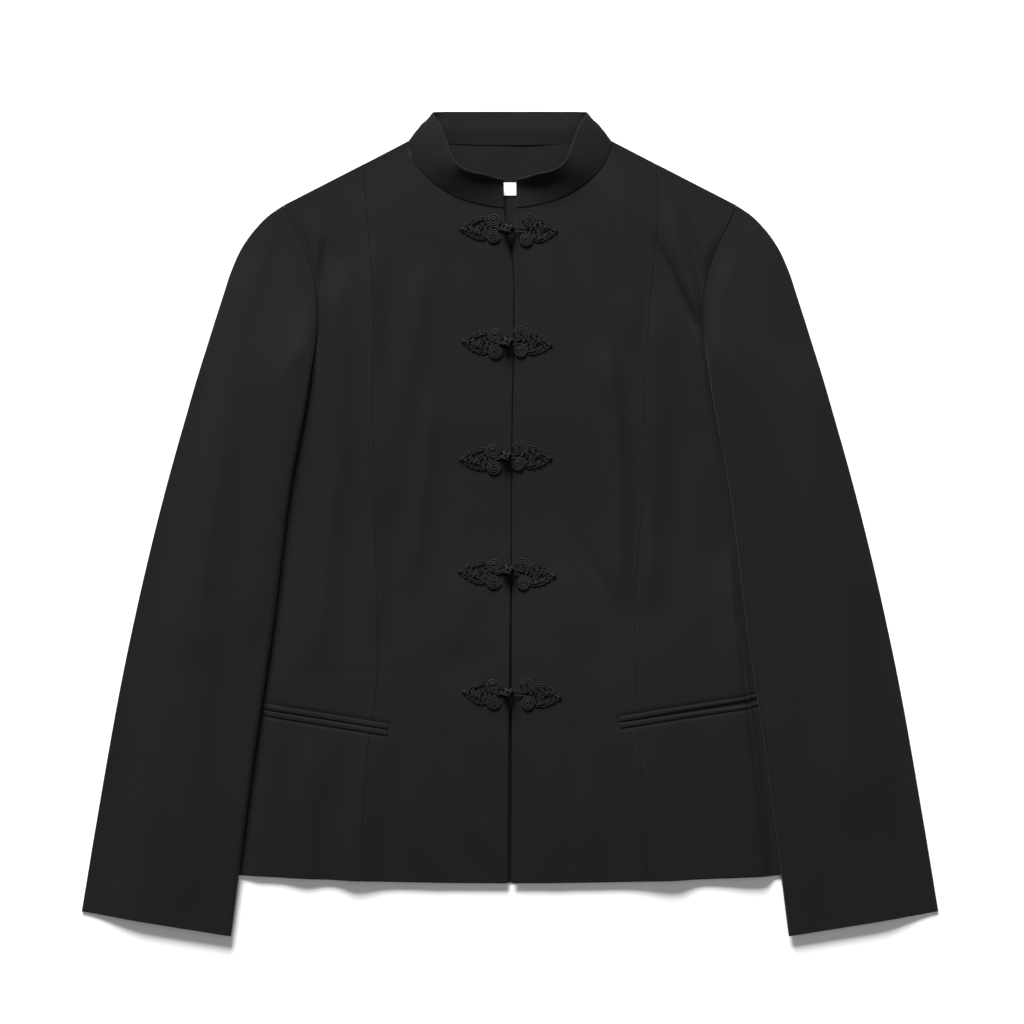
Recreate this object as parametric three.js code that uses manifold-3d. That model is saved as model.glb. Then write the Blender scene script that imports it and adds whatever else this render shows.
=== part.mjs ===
// Tang jacket laid flat, face up: a short fitted jacket of black suiting with a stand collar,
// princess seams, two jetted pockets and five frog fastenings.
// Millimetres. X runs across the jacket towards the wearer's left, Y from the hem to the
// collar, and Z up from the surface that the jacket lies on. The origin is the middle of the
// jacket's outline, on that surface.

import * as THREE from "three";
import { mergeVertices } from "three/addons/utils/BufferGeometryUtils.js";
import Module from "manifold-3d";

const wasm = await Module();
wasm.setup();

// ---- Driving dimensions -------------------------------------------------------------------

const SIDES = [
  { name: "right", sign: -1 }, // the wearer's right front, at negative X
  { name: "left", sign: 1 },
];

const CLOTH = 1.5; // suiting with its lining and interfacing
const SEAM = 0.4; // between two pieces that are sewn edge to edge
const GAP = 0.3; // between two pieces that lie on each other
const SLEEVE_GAP = 0.8; // between a front and the sleeve that lies on it
const AIR = 2.6; // most air between the two layers of a sleeve

const FACING = { thickness: 1.0, halfWidth: 70, bottom: 236 };
const LABEL = { width: 50, height: 11, top: 289, thickness: 0.4 };

const NECK = { halfWidth: 85, top: 325, depth: 57.5, power: 1.85, backDip: 3 };
const FRONT_NECK_X = 5.5; // each front stops this far from the centre at the neck
const SHOULDER = { x: 192, slope: 0.515 };
const HEM = { middle: -305.2, rise: 6.4, at: 227 };
const ARMPIT = { x: 232, y: 112 };
const NOTCH = { x: 164, y: 158 }; // where the sleeve's inner fold meets the front armhole

// How a sleeve comes down off the front: it starts this far past the front's edge, reaches
// the surface over this run, and comes off the armhole over this rise above the notch.
const DRAPE = { start: 24, run: 30, rise: 50 };
const CUFF = { outer: [363.4, -329.4], inner: [235.9, -349.8] };

// Half widths of the body at each height: the side seam, and the princess seam of each front.
const BODY = [
  { y: -306, side: 241, right: 126, left: 117 },
  { y: -240, side: 233, right: 123.5, left: 114.5 },
  { y: -185, side: 227, right: 119.5, left: 109 },
  { y: -145, side: 222, right: 113.5, left: 107 },
  { y: -70, side: 216, right: 112.6, left: 106 },
  { y: 20, side: 221, right: 114.8, left: 112 },
  { y: 112, side: 232, right: 116, left: 114 },
  { y: 200, side: 232, right: 116, left: 120 },
  { y: 250, side: 232, right: 120.5, left: 125 },
  { y: 306, side: 232, right: 124.5, left: 124.5 },
];

// Where each front edge lies: they part at the neck, and almost meet from the bust down.
const FRONT_EDGE = [
  { y: -306, right: -1.9, left: 2.0 },
  { y: -150, right: -0.9, left: 1.9 },
  { y: 0, right: 0.8, left: 1.9 },
  { y: 88, right: 1.4, left: 2.5 },
  { y: 173, right: 2.8, left: 3.9 },
  { y: 220, right: 1.8, left: 3.4 },
  { y: 240, right: -2.0, left: 2.6 },
  { y: 268, right: -FRONT_NECK_X, left: FRONT_NECK_X },
];

// The front armhole from the shoulder point down to where the sleeve folds over it, and on,
// under the sleeve, to the armpit. The back armhole is the shallower one.
const ARMHOLE_SEEN = [
  [192, 270],
  [186.5, 257],
  [174, 230],
  [166, 205],
  [163.6, 180],
  [164, 158],
];
const ARMHOLE_UNDER = [
  [164, 158],
  [168, 142],
  [182, 126],
  [205, 116],
  [232, 112],
];
const ARMHOLE_BACK = [
  [192, 270],
  [180, 225],
  [176, 185],
  [182, 150],
  [203, 124],
  [232, 112],
];

const ARMHOLE_PIECES = { seen: 5, covered: 3 };

// The two folded edges of a flat sleeve, from the cuff up.
const SLEEVE_OUTER = [
  CUFF.outer,
  [350.6, -252],
  [326, -116],
  [294.5, 20],
  [265.6, 122],
  [244.4, 190],
  [235.9, 215.5],
  [228.2, 232.5],
  [216.3, 249.5],
  [205, 261],
  [192, 270],
];
const SLEEVE_INNER = [
  CUFF.inner,
  [219.4, -221],
  [200, -86],
  [184.5, 35],
  [171, 108],
  [164, 158],
];

// Stations round half the collar, from the centre front to the centre back: the middle of the
// band at its seam, at the bend above it and at its top edge. The band folds over at the
// shoulder.
const COLLAR_THICKNESS = 2.0;
const COLLAR = [
  { seam: [6.5, 269.8, 5.2], bend: [6.4, 284.0, 7.0], top: [6.8, 290.8, 11.4] },
  { seam: [23, 272.9, 5.3], bend: [21.0, 286.6, 7.6], top: [17.5, 294.0, 16.0] },
  { seam: [39.3, 278.0, 5.4], bend: [34.6, 287.8, 8.8], top: [31.0, 297.0, 20.4] },
  { seam: [53.7, 285.0, 5.4], bend: [47.6, 292.0, 11.0], top: [41.0, 301.0, 22.2] },
  { seam: [65.2, 294.6, 5.3], bend: [57.0, 299.4, 11.6], top: [47.6, 308.6, 21.0] },
  { seam: [73.8, 304.6, 5.2], bend: [64.2, 309.8, 10.8], top: [52.0, 320.0, 18.2] },
  { seam: [80.2, 315.4, 4.9], bend: [70.0, 322.6, 9.2], top: [57.4, 334.0, 13.6] },
  { seam: [83.6, 326.6, 3.6], bend: [75.0, 336.4, 6.6], top: [64.3, 348.2, 8.0] },
  { seam: [78.5, 327.4, 2.0], bend: [70.5, 337.5, 4.4], top: [59.6, 348.8, 5.0] },
  { seam: [58, 325.6, 1.7], bend: [52.0, 336.0, 3.6], top: [46.0, 348.8, 3.2] },
  { seam: [29, 324.3, 1.6], bend: [27.0, 335.0, 3.4], top: [24.0, 348.8, 2.8] },
  { seam: [0, 323.8, 1.6], bend: [0, 335.0, 3.4], top: [0, 348.8, 2.8] },
];

// The largest folds of the fronts: soft ridges along a line, in the wearer's right and left.
const FOLDS = [
  { side: "right", from: [-128, 190], to: [-127, -40], width: 12, height: 2.2 },
  { side: "right", from: [-96, 110], to: [-93, -50], width: 11, height: 2.0 },
  { side: "right", from: [-134, -200], to: [-140, -330], width: 15, height: 3.0 },
  { side: "left", from: [112, 210], to: [121, -40], width: 12, height: 2.4 },
  { side: "left", from: [136, 226], to: [152, 172], width: 7, height: 2.2 },
  { side: "left", from: [126, -200], to: [134, -330], width: 15, height: 3.0 },
];

// Loft of the fronts off the back, by height.
const LOFT = [
  { y: -306, height: 1.2 },
  { y: -250, height: 3.6 },
  { y: -185, height: 6.0 },
  { y: -120, height: 5.2 },
  { y: -60, height: 2.8 },
  { y: -15, height: 1.5 },
  { y: 90, height: 2.8 },
  { y: 200, height: 2.6 },
  { y: 330, height: 1.2 },
];

// Each pocket's slit, between its two jets, from its front end to its end under the sleeve.
const JET = { height: 5.2, slit: 0.5, thickness: 1.2, segments: 8 };
const POCKETS = [
  { side: "right", front: [-103.5, -174.8], back: [-213, -157.2] },
  { side: "left", front: [92.5, -168.6], back: [213, -149.6] },
];

// Each frog's height on the front edge and the reach of its two leaves from the knot.
const FROGS = [
  { y: 249.0, middle: -1.7, right: 40.0, left: 41.1 },
  { y: 153.0, middle: -2.6, right: 37.6, left: 37.6 },
  { y: 56.0, middle: -3.2, right: 38.8, left: 38.2 },
  { y: -41.2, middle: -1.7, right: 41.7, left: 39.9 },
  { y: -144.2, middle: -2.1, right: 37.5, left: 44.9 },
];
const FROG = {
  leafHalfWidth: 8.6,
  leafStart: 14,
  leafThickness: 2.0,
  coilX: 13.6,
  coilY: 7.2,
  coilRadius: 6.2,
  coilThickness: 2.4,
  cordThickness: 1.3,
  cordHalfWidth: 1.6,
  loopRadius: 2.6,
  loopCord: 0.8,
  loopHeight: 2.7,
  ballRadius: 4.6,
  lift: 0.4,
};

// ---- Small mathematics --------------------------------------------------------------------

const clamp01 = (t) => Math.min(1, Math.max(0, t));
const smooth = (t) => clamp01(t) ** 2 * (3 - 2 * clamp01(t));
const mix = (a, b, t) => a + (b - a) * t;
const mixPoint = (a, b, t) => a.map((value, k) => mix(value, b[k], t));

// The value of one column of a table at a height, on a smooth curve through its rows.
function column(rows, name, y) {
  const last = rows.length - 1;
  const at = Math.min(rows[last].y, Math.max(rows[0].y, y));
  let i = 0;
  while (i < last - 1 && rows[i + 1].y < at) i += 1;
  const slope = (k) => {
    const a = rows[Math.max(0, k - 1)];
    const b = rows[Math.min(last, k + 1)];
    return (b[name] - a[name]) / (b.y - a.y);
  };
  const span = rows[i + 1].y - rows[i].y;
  const t = (at - rows[i].y) / span;
  const [t2, t3] = [t * t, t * t * t];
  return (
    (2 * t3 - 3 * t2 + 1) * rows[i][name] +
    (t3 - 2 * t2 + t) * span * slope(i) +
    (3 * t2 - 2 * t3) * rows[i + 1][name] +
    (t3 - t2) * span * slope(i + 1)
  );
}

// A curve through points, as a function of the share of its length.
function through(points) {
  const spots = points.map(([x, y, z = 0]) => new THREE.Vector3(x, y, z));
  const curve = new THREE.CatmullRomCurve3(spots, false, "centripetal");
  return (t) => curve.getPointAt(clamp01(t)).toArray();
}

const reversed = (curve) => (t) => curve(1 - t);

// The same curve as straight pieces, so that both sides of a seam follow one line.
function straightened(curve, pieces) {
  return (t) => {
    const i = Math.min(pieces - 1, Math.floor(clamp01(t) * pieces));
    return mixPoint(curve(i / pieces), curve((i + 1) / pieces), t * pieces - i);
  };
}

// Curves one after the other: each part holds the share of t at which it ends, and its curve.
function chain(parts) {
  return (t) => {
    let start = 0;
    for (const { until, curve } of parts) {
      if (t <= until || until === 1) return curve((t - start) / (until - start));
      start = until;
    }
  };
}

// Coons patch: the plan point (u, v) of the panel that four edge curves bound.
function patch({ bottom, top, start, end }) {
  const corners = [bottom(0), bottom(1), top(0), top(1)];
  return (u, v) =>
    [0, 1].map(
      (k) =>
        (1 - v) * bottom(u)[k] +
        v * top(u)[k] +
        (1 - u) * start(v)[k] +
        u * end(v)[k] -
        (1 - u) * (1 - v) * corners[0][k] -
        u * (1 - v) * corners[1][k] -
        (1 - u) * v * corners[2][k] -
        u * v * corners[3][k],
    );
}

const evenly = (count) => Array.from({ length: count + 1 }, (_, i) => i / count);

// ---- Closed walls from grids --------------------------------------------------------------

// A wall between two skins, each a list of rows of [x, y, z]. Where the rows run round a tube,
// their ends join, and otherwise the wall has a rim on all four sides.
function wall(outer, inner, around = false) {
  const rows = outer.length;
  const count = outer[0].length;
  const positions = [...outer.flat(), ...inner.flat()].flat();
  const index = [];
  const at = (skin, i, j) => skin * rows * count + i * count + (j % count);
  const quad = (a, b, c, d) => index.push(a, b, c, a, c, d);
  const steps = around ? count : count - 1;
  for (let j = 0; j < steps; j += 1) {
    for (let i = 0; i < rows - 1; i += 1) {
      quad(at(0, i, j), at(0, i, j + 1), at(0, i + 1, j + 1), at(0, i + 1, j));
      quad(at(1, i, j), at(1, i + 1, j), at(1, i + 1, j + 1), at(1, i, j + 1));
    }
    quad(at(0, 0, j), at(1, 0, j), at(1, 0, j + 1), at(0, 0, j + 1));
    const end = rows - 1;
    quad(at(0, end, j), at(0, end, j + 1), at(1, end, j + 1), at(1, end, j));
  }
  if (!around) {
    const end = count - 1;
    for (let i = 0; i < rows - 1; i += 1) {
      quad(at(0, i, 0), at(0, i + 1, 0), at(1, i + 1, 0), at(1, i, 0));
      quad(at(0, i, end), at(1, i, end), at(1, i + 1, end), at(0, i + 1, end));
    }
  }
  const geometry = new THREE.BufferGeometry();
  geometry.setAttribute("position", new THREE.Float32BufferAttribute(positions, 3));
  geometry.setIndex(index);
  return facingOut(geometry);
}

// Turns a closed geometry's faces round if they point inwards.
function facingOut(geometry) {
  const spots = geometry.attributes.position;
  const index = geometry.index.array;
  const [a, b, c] = [new THREE.Vector3(), new THREE.Vector3(), new THREE.Vector3()];
  let volume = 0;
  for (let i = 0; i < index.length; i += 3) {
    a.fromBufferAttribute(spots, index[i]);
    b.fromBufferAttribute(spots, index[i + 1]);
    c.fromBufferAttribute(spots, index[i + 2]);
    volume += a.dot(b.cross(c));
  }
  if (volume < 0) {
    for (let i = 0; i < index.length; i += 3) {
      [index[i + 1], index[i + 2]] = [index[i + 2], index[i + 1]];
    }
  }
  return geometry;
}

// A flat panel: its plan as a patch, at the stations given, between two heights over (x, y).
function panel(plan, us, vs, under, thickness) {
  const rows = vs.map((v) => us.map((u) => plan(u, v)));
  const skin = (extra) => rows.map((row) => row.map(([x, y]) => [x, y, under(x, y) + extra]));
  return wall(skin(thickness), skin(0));
}

// Joins closed geometries into one solid.
function union(geometries) {
  const joined = geometries
    .map((source) => {
      const bare = source.clone();
      bare.deleteAttribute("normal");
      bare.deleteAttribute("uv");
      const merged = facingOut(mergeVertices(bare, 1e-4));
      return new wasm.Manifold(
        new wasm.Mesh({
          numProp: 3,
          vertProperties: new Float32Array(merged.attributes.position.array),
          triVerts: new Uint32Array(merged.index.array),
        }),
      );
    })
    .reduce((whole, next) => whole.add(next));
  const mesh = joined.getMesh();
  const geometry = new THREE.BufferGeometry();
  geometry.setAttribute("position", new THREE.Float32BufferAttribute(mesh.vertProperties, 3));
  geometry.setIndex(Array.from(mesh.triVerts));
  return geometry;
}

// ---- Lines of the cut ---------------------------------------------------------------------

const hemY = (x) => HEM.middle + HEM.rise * (x / HEM.at) ** 2;
const shoulderY = (x) => NECK.top - SHOULDER.slope * (Math.abs(x) - NECK.halfWidth);
const sideSeamX = (y) => column(BODY, "side", y);
const seenArmhole = straightened(through(ARMHOLE_SEEN), ARMHOLE_PIECES.seen);
const coveredArmhole = straightened(through(ARMHOLE_UNDER), ARMHOLE_PIECES.covered);
const backArmhole = straightened(
  through(ARMHOLE_BACK),
  ARMHOLE_PIECES.seen + ARMHOLE_PIECES.covered,
);

// The covered front armhole's x at a height between the armpit and the notch.
const UNDERARM = ARMHOLE_UNDER.map(([x, y]) => ({ x, y })).reverse();
const underarmX = (y) => column(UNDERARM, "x", y);

// The front neckline: a quarter of a rounded oval, from the shoulder (0) to the front edge (1).
function neckline(t) {
  const reach = Math.asin((FRONT_NECK_X / NECK.halfWidth) ** (NECK.power / 2));
  const angle = mix(0, Math.PI / 2 - reach, t);
  return [
    NECK.halfWidth * Math.cos(angle) ** (2 / NECK.power),
    NECK.top - NECK.depth * Math.sin(angle) ** (2 / NECK.power),
  ];
}

const backNeckY = (x) => NECK.top - NECK.backDip * (1 - (x / NECK.halfWidth) ** 2);

const mirrored = (curve, sign) => (t) => {
  const [x, y] = curve(t);
  return [sign * x, y];
};

// ---- Heights over the surface -------------------------------------------------------------

// Height of one fold: a rounded ridge that dies out at both ends.
function foldHeight({ from, to, width, height }, x, y) {
  const [dx, dy] = [to[0] - from[0], to[1] - from[1]];
  const length = Math.hypot(dx, dy);
  const along = ((x - from[0]) * dx + (y - from[1]) * dy) / length ** 2;
  const aside = ((x - from[0]) * dy - (y - from[1]) * dx) / length;
  const ends = smooth(along * 4) * smooth((1 - along) * 4);
  return height * ends * Math.exp(-((aside / width) ** 2));
}

// Underside of a front: on the back at the side seam and the shoulder, lofted between, a
// facing higher round the neck.
function frontUnder(x, y) {
  const side = x < 0 ? "right" : "left";
  const far = Math.abs(x);
  const fromSide = smooth((Math.min(sideSeamX(y), 165) - far) / 60);
  const fromShoulder = smooth((shoulderY(x) - y) / 50);
  const folds = FOLDS.filter((fold) => fold.side === side);
  const ridges = folds.reduce((sum, fold) => sum + foldHeight(fold, x, y), 0);
  const overFacing = (FACING.thickness + GAP) * smooth((120 - far) / 25) * smooth((y - 200) / 30);
  const loft = column(LOFT, "height", y) * fromSide * fromShoulder;
  return CLOTH + GAP + overFacing + loft + ridges;
}

// Distance from the edge of a front that a sleeve covers: its side seam and its low armhole.
function beyondFront(far, y) {
  const edge = y < ARMPIT.y ? sideSeamX(y) : underarmX(y);
  if (far < edge) return 0;
  const spots = [[sideSeamX(y), Math.min(y, ARMPIT.y)], ...evenly(8).map(coveredArmhole)];
  return Math.min(...spots.map(([px, py]) => Math.hypot(far - px, y - py)));
}

// Underside of a sleeve: on the front where the sleeve covers it, and draped from there down
// to the surface.
function sleeveUnder(x, y) {
  const far = Math.abs(x);
  const draped = 1 - smooth((beyondFront(far, y) - DRAPE.start) / DRAPE.run);
  const belowNotch = 1 - smooth((y - NOTCH.y) / DRAPE.rise);
  const onFront = frontUnder(x, y) + CLOTH + SLEEVE_GAP;
  return draped * belowNotch * onFront;
}

// ---- Pieces -------------------------------------------------------------------------------

const SUITING = { color: 0x262426, roughness: 0.85, metalness: 0 };
const CORD = { color: 0x171617, roughness: 0.6, metalness: 0 };
const SATIN = { color: 0xe9e9e6, roughness: 0.5, metalness: 0 };

const jacket = new THREE.Group();
jacket.name = "tang_jacket";

function add(name, geometry, finish) {
  const mesh = new THREE.Mesh(geometry, new THREE.MeshStandardMaterial(finish));
  mesh.name = name;
  jacket.add(mesh);
}

const ARMPIT_SHARE = 0.68; // of a panel's height: the row that meets the armpit
const BODY_ROWS = [
  ...evenly(8).map((t) => t * ARMPIT_SHARE),
  ...evenly(ARMHOLE_PIECES.seen + ARMHOLE_PIECES.covered)
    .slice(1)
    .map((t) => mix(ARMPIT_SHARE, 1, t)),
];

// The side of a panel from the hem to the armpit and round the armhole to the shoulder point.
function sideAndArmhole(armhole) {
  const side = (t) => {
    const y = mix(hemY(sideSeamX(HEM.middle)), ARMPIT.y, t);
    return [sideSeamX(y), y];
  };
  return chain([
    { until: ARMPIT_SHARE, curve: side },
    { until: 1, curve: armhole },
  ]);
}

function back() {
  const corner = sideSeamX(HEM.middle);
  const edge = sideAndArmhole(reversed(backArmhole));
  const shoulder = (t) => {
    const x = mix(SHOULDER.x, NECK.halfWidth, t);
    return [x, shoulderY(x)];
  };
  const neck = (t) => {
    const x = mix(-NECK.halfWidth, NECK.halfWidth, t);
    return [x, backNeckY(x)];
  };
  const plan = patch({
    bottom: (u) => [mix(-corner, corner, u), hemY(mix(-corner, corner, u))],
    top: chain([
      { until: 0.3, curve: mirrored(shoulder, -1) },
      { until: 0.7, curve: neck },
      { until: 1, curve: reversed(shoulder) },
    ]),
    start: mirrored(edge, -1),
    end: edge,
  });
  return panel(plan, evenly(12), BODY_ROWS, () => 0, CLOTH);
}

// Facing inside the back neck, which shows through the neck opening.
function neckFacing() {
  const { halfWidth, bottom } = FACING;
  const plan = (u, v) => {
    const x = mix(-halfWidth, halfWidth, u) * mix(0.55, 1, smooth(v * 1.4));
    const top = backNeckY(x) - SEAM;
    return [x, mix(bottom + 20 * (x / halfWidth) ** 2, top, v)];
  };
  return panel(plan, evenly(8), evenly(3), () => CLOTH + GAP, FACING.thickness);
}

// Woven label sewn to the facing, left bare.
function label() {
  const { width, height, top, thickness } = LABEL;
  const plan = (u, v) => [mix(-width / 2, width / 2, u), mix(top - height, top, v)];
  const under = () => CLOTH + 2 * GAP + FACING.thickness;
  return panel(plan, evenly(4), evenly(1), under, thickness);
}

function centreFront({ name, sign }) {
  const seamX = (y) => sign * (column(BODY, name, y) - SEAM / 2);
  const edgeX = (y) => column(FRONT_EDGE, name, y);
  const neckY = neckline(1)[1];
  const topY = shoulderY(column(BODY, name, NECK.top));
  const upTo = (xAt, last) => (v) => {
    const y = mix(hemY(xAt(HEM.middle)), last, v);
    return [xAt(y), y];
  };
  const plan = patch({
    bottom: (u) => {
      const x = mix(edgeX(HEM.middle), seamX(HEM.middle), u);
      return [x, hemY(x)];
    },
    top: chain([
      { until: 0.7, curve: mirrored(reversed(neckline), sign) },
      {
        until: 1,
        curve: (t) => {
          const x = mix(NECK.halfWidth, Math.abs(seamX(topY)), t);
          return [sign * x, shoulderY(x)];
        },
      },
    ]),
    start: upTo(edgeX, neckY),
    end: upTo(seamX, topY),
  });
  return panel(plan, evenly(8), BODY_ROWS, frontUnder, CLOTH);
}

function sideFront({ name, sign }) {
  const seamX = (y) => column(BODY, name, y) + SEAM / 2;
  const topY = shoulderY(column(BODY, name, NECK.top));
  const armhole = chain([
    {
      until: ARMHOLE_PIECES.covered / (ARMHOLE_PIECES.covered + ARMHOLE_PIECES.seen),
      curve: reversed(coveredArmhole),
    },
    { until: 1, curve: reversed(seenArmhole) },
  ]);
  const corner = sideSeamX(HEM.middle);
  const flat = patch({
    bottom: (u) => {
      const x = mix(seamX(HEM.middle), corner, u);
      return [x, hemY(x)];
    },
    top: (u) => {
      const x = mix(seamX(topY), SHOULDER.x, u);
      return [x, shoulderY(x)];
    },
    start: (v) => {
      const y = mix(hemY(seamX(HEM.middle)), shoulderY(seamX(topY)), v);
      return [seamX(y), y];
    },
    end: sideAndArmhole(armhole),
  });
  const plan = (u, v) => {
    const [x, y] = flat(u, v);
    return [sign * x, y];
  };
  return panel(plan, evenly(6), BODY_ROWS, frontUnder, CLOTH);
}

// A sleeve: a flat tube whose upper layer is sewn to the front armhole that shows, and whose
// lower layer is sewn to the back armhole and to the covered part of the front one.
function sleeve({ sign }) {
  const cuff = (u) => mixPoint(CUFF.outer, CUFF.inner, u);
  const folds = { start: through(SLEEVE_OUTER), end: through(SLEEVE_INNER) };
  const upper = patch({ bottom: cuff, top: seenArmhole, ...folds });
  const lower = patch({
    bottom: cuff,
    top: chain([
      { until: 0.65, curve: backArmhole },
      { until: 1, curve: reversed(coveredArmhole) },
    ]),
    ...folds,
  });
  const across = evenly(10).map((t) => (1 - Math.cos(Math.PI * t)) / 2);
  const ring = (v, inset) => {
    const layer = (plan, turn) => (u) => {
      const [flatX, y] = plan(mix(inset * 0.012, 1 - inset * 0.012, u), v);
      const x = flatX + 2 * SEAM;
      const round = Math.sqrt(1 - (2 * u - 1) ** 8);
      const air = GAP + AIR * smooth((1 - v) * 7) * Math.sin(Math.PI * u) ** 0.5;
      const wallIn = inset * CLOTH;
      const height = 2 * (CLOTH - wallIn) + air;
      const z = sleeveUnder(x, y) + wallIn + (height * (1 + turn * round)) / 2;
      return [sign * x, y, z];
    };
    return [
      ...across.slice(0, -1).map(layer(upper, 1)),
      ...across.slice(1).reverse().map(layer(lower, -1)),
    ];
  };
  const rows = [...evenly(9).map((t) => t * 0.86), 0.91, 0.96, 1];
  const skin = (inset) => rows.map((v) => ring(v, inset));
  return wall(skin(0), skin(1), true);
}

// The stand collar: one band round the neck, folded over at each shoulder.
function collar() {
  const half = COLLAR.slice(0, -1);
  const whole = (edge) => [
    ...half.map((station) => station[edge]),
    COLLAR.at(-1)[edge],
    ...[...half].reverse().map(({ [edge]: [x, y, z] }) => [-x, y, z]),
  ];
  const curve = (points) =>
    new THREE.CatmullRomCurve3(points.map((p) => new THREE.Vector3(...p)), false, "centripetal");
  const edges = ["seam", "bend", "top"].map((edge) => curve(whole(edge)));
  const [seam, , top] = edges;
  const steps = 2 * (2 * COLLAR.length - 2);
  const skins = [1, -1].map((face) =>
    evenly(steps).map((t) => {
      const along = seam.getTangent(t).add(top.getTangent(t)).normalize();
      const rise = top.getPoint(t).sub(seam.getPoint(t)).normalize();
      const normal = new THREE.Vector3().crossVectors(along, rise).normalize();
      return edges.map((edge) =>
        edge
          .getPoint(t)
          .addScaledVector(normal, (face * COLLAR_THICKNESS) / 2)
          .toArray(),
      );
    }),
  );
  return wall(skins[0], skins[1]);
}

// One jet of a pocket: a narrow folded strip along the slit, above it (1) or below it (-1).
function jet({ front, back }, place) {
  const plan = (u, v) => {
    const [x, y] = mixPoint(front, back, u);
    return [x, y + place * mix(JET.slit / 2, JET.height, v)];
  };
  const under = (x, y) => frontUnder(x, y) + CLOTH + GAP;
  return panel(plan, evenly(JET.segments), evenly(1), under, JET.thickness);
}

// ---- Frog fastenings ----------------------------------------------------------------------

// A leaf of looped cord as one domed plate, from the coils out to its tip.
function frogLeaf(reach) {
  const { leafStart, leafHalfWidth, leafThickness } = FROG;
  const rows = evenly(6).map((t) => {
    const half = 0.4 + leafHalfWidth * Math.sin(Math.PI * mix(0.3, 1, t ** 1.1));
    return [-1, 0, 1].map((w) => [mix(leafStart, reach, t), w * half, 1 - 0.4 * w * w]);
  });
  const skin = (lift) => rows.map((row) => row.map(([x, y, dome]) => [x, y, lift * dome]));
  return wall(skin(leafThickness), skin(0));
}

function disc(x, y, radius, height, base = 0) {
  return new THREE.CylinderGeometry(radius, radius, height, 10)
    .rotateX(Math.PI / 2)
    .translate(x, y, base + height / 2);
}

function bar(x0, x1, y, halfWidth, height) {
  return new THREE.BoxGeometry(x1 - x0, 2 * halfWidth, height).translate(
    (x0 + x1) / 2,
    y,
    height / 2,
  );
}

// The loop: a cord that leaves between the coils, runs round the button's neck and back.
function frogLoop() {
  const { coilX, loopRadius, loopCord, loopHeight } = FROG;
  const arc = evenly(4).map((t) => {
    const angle = Math.PI * (0.5 + t);
    return [loopRadius * Math.cos(angle), loopRadius * Math.sin(angle), loopHeight];
  });
  const ends = [1, -1].map((way) => [
    [coilX - 2, way * loopRadius * 0.8, loopHeight - 0.9],
    [5, way * loopRadius, loopHeight],
  ]);
  const route = [...ends[0], ...arc, ...ends[1].reverse()];
  const curve = new THREE.CatmullRomCurve3(route.map((p) => new THREE.Vector3(...p)));
  const section = new THREE.Shape().absarc(0, 0, loopCord, 0, 2 * Math.PI);
  return new THREE.ExtrudeGeometry(section, {
    steps: 14,
    curveSegments: 3,
    extrudePath: curve,
  });
}

// Half of a frog, pointing along +X from the knot: with the button, or with its loop.
function frogHalf(reach, withButton) {
  const { coilX, coilY, coilRadius, coilThickness, cordThickness, cordHalfWidth } = FROG;
  const parts = [
    frogLeaf(reach),
    disc(coilX, coilY, coilRadius, coilThickness),
    disc(coilX, -coilY, coilRadius, coilThickness),
    bar(coilX - 3, coilX + 4, 0, cordHalfWidth + 1, coilThickness),
  ];
  if (withButton) {
    const { ballRadius, loopHeight, loopCord } = FROG;
    const ballZ = loopHeight + loopCord + 0.35 + ballRadius;
    parts.push(bar(-1, coilX, 0, cordHalfWidth, cordThickness));
    parts.push(disc(0, 0, 1.1, ballZ - cordThickness + 0.2, cordThickness - 0.2));
    parts.push(new THREE.SphereGeometry(ballRadius, 10, 6).translate(0, 0, ballZ));
  } else {
    parts.push(frogLoop());
  }
  return union(parts);
}

// Lays a frog half on the fronts: each of its points is lifted by the cloth under it.
function laidOnFront(geometry, { y: height, middle }, sign) {
  const spots = geometry.attributes.position;
  for (let i = 0; i < spots.count; i += 1) {
    const x = middle + sign * spots.getX(i);
    const y = height + spots.getY(i);
    const cloth = frontUnder(x, y) + CLOTH + FROG.lift;
    spots.setXYZ(i, x, y, cloth + spots.getZ(i));
  }
  return facingOut(geometry);
}

// ---- The jacket ---------------------------------------------------------------------------

add("back", back(), SUITING);
add("neck_facing", neckFacing(), SUITING);
add("label", label(), SATIN);
add("collar", collar(), SUITING);
for (const side of SIDES) {
  add(`centre_front_${side.name}`, centreFront(side), SUITING);
  add(`side_front_${side.name}`, sideFront(side), SUITING);
  add(`sleeve_${side.name}`, sleeve(side), SUITING);
}
for (const pocket of POCKETS) {
  add(`pocket_${pocket.side}_upper_jet`, jet(pocket, 1), SUITING);
  add(`pocket_${pocket.side}_lower_jet`, jet(pocket, -1), SUITING);
}
FROGS.forEach((frog, i) => {
  add(`frog_${i + 1}_button_half`, laidOnFront(frogHalf(frog.right, true), frog, -1), CORD);
  add(`frog_${i + 1}_loop_half`, laidOnFront(frogHalf(frog.left, false), frog, 1), CORD);
});

export default jacket;
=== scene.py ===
# %% [markdown]
# # A tang jacket, laid flat
# A short, fitted jacket of black suiting lies face up. It has one back, four front panels, two
# tubular sleeves folded down over them, a stand collar, two pockets and five knotted cord
# fastenings called frogs.
#
# Cloth could be simulated. A pressed jacket that somebody has laid out and smoothed by hand
# keeps shallow, long folds in places of their own, so each panel is made here as a surface
# worked out from the cut, and its folds are put in one by one.

import math

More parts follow.
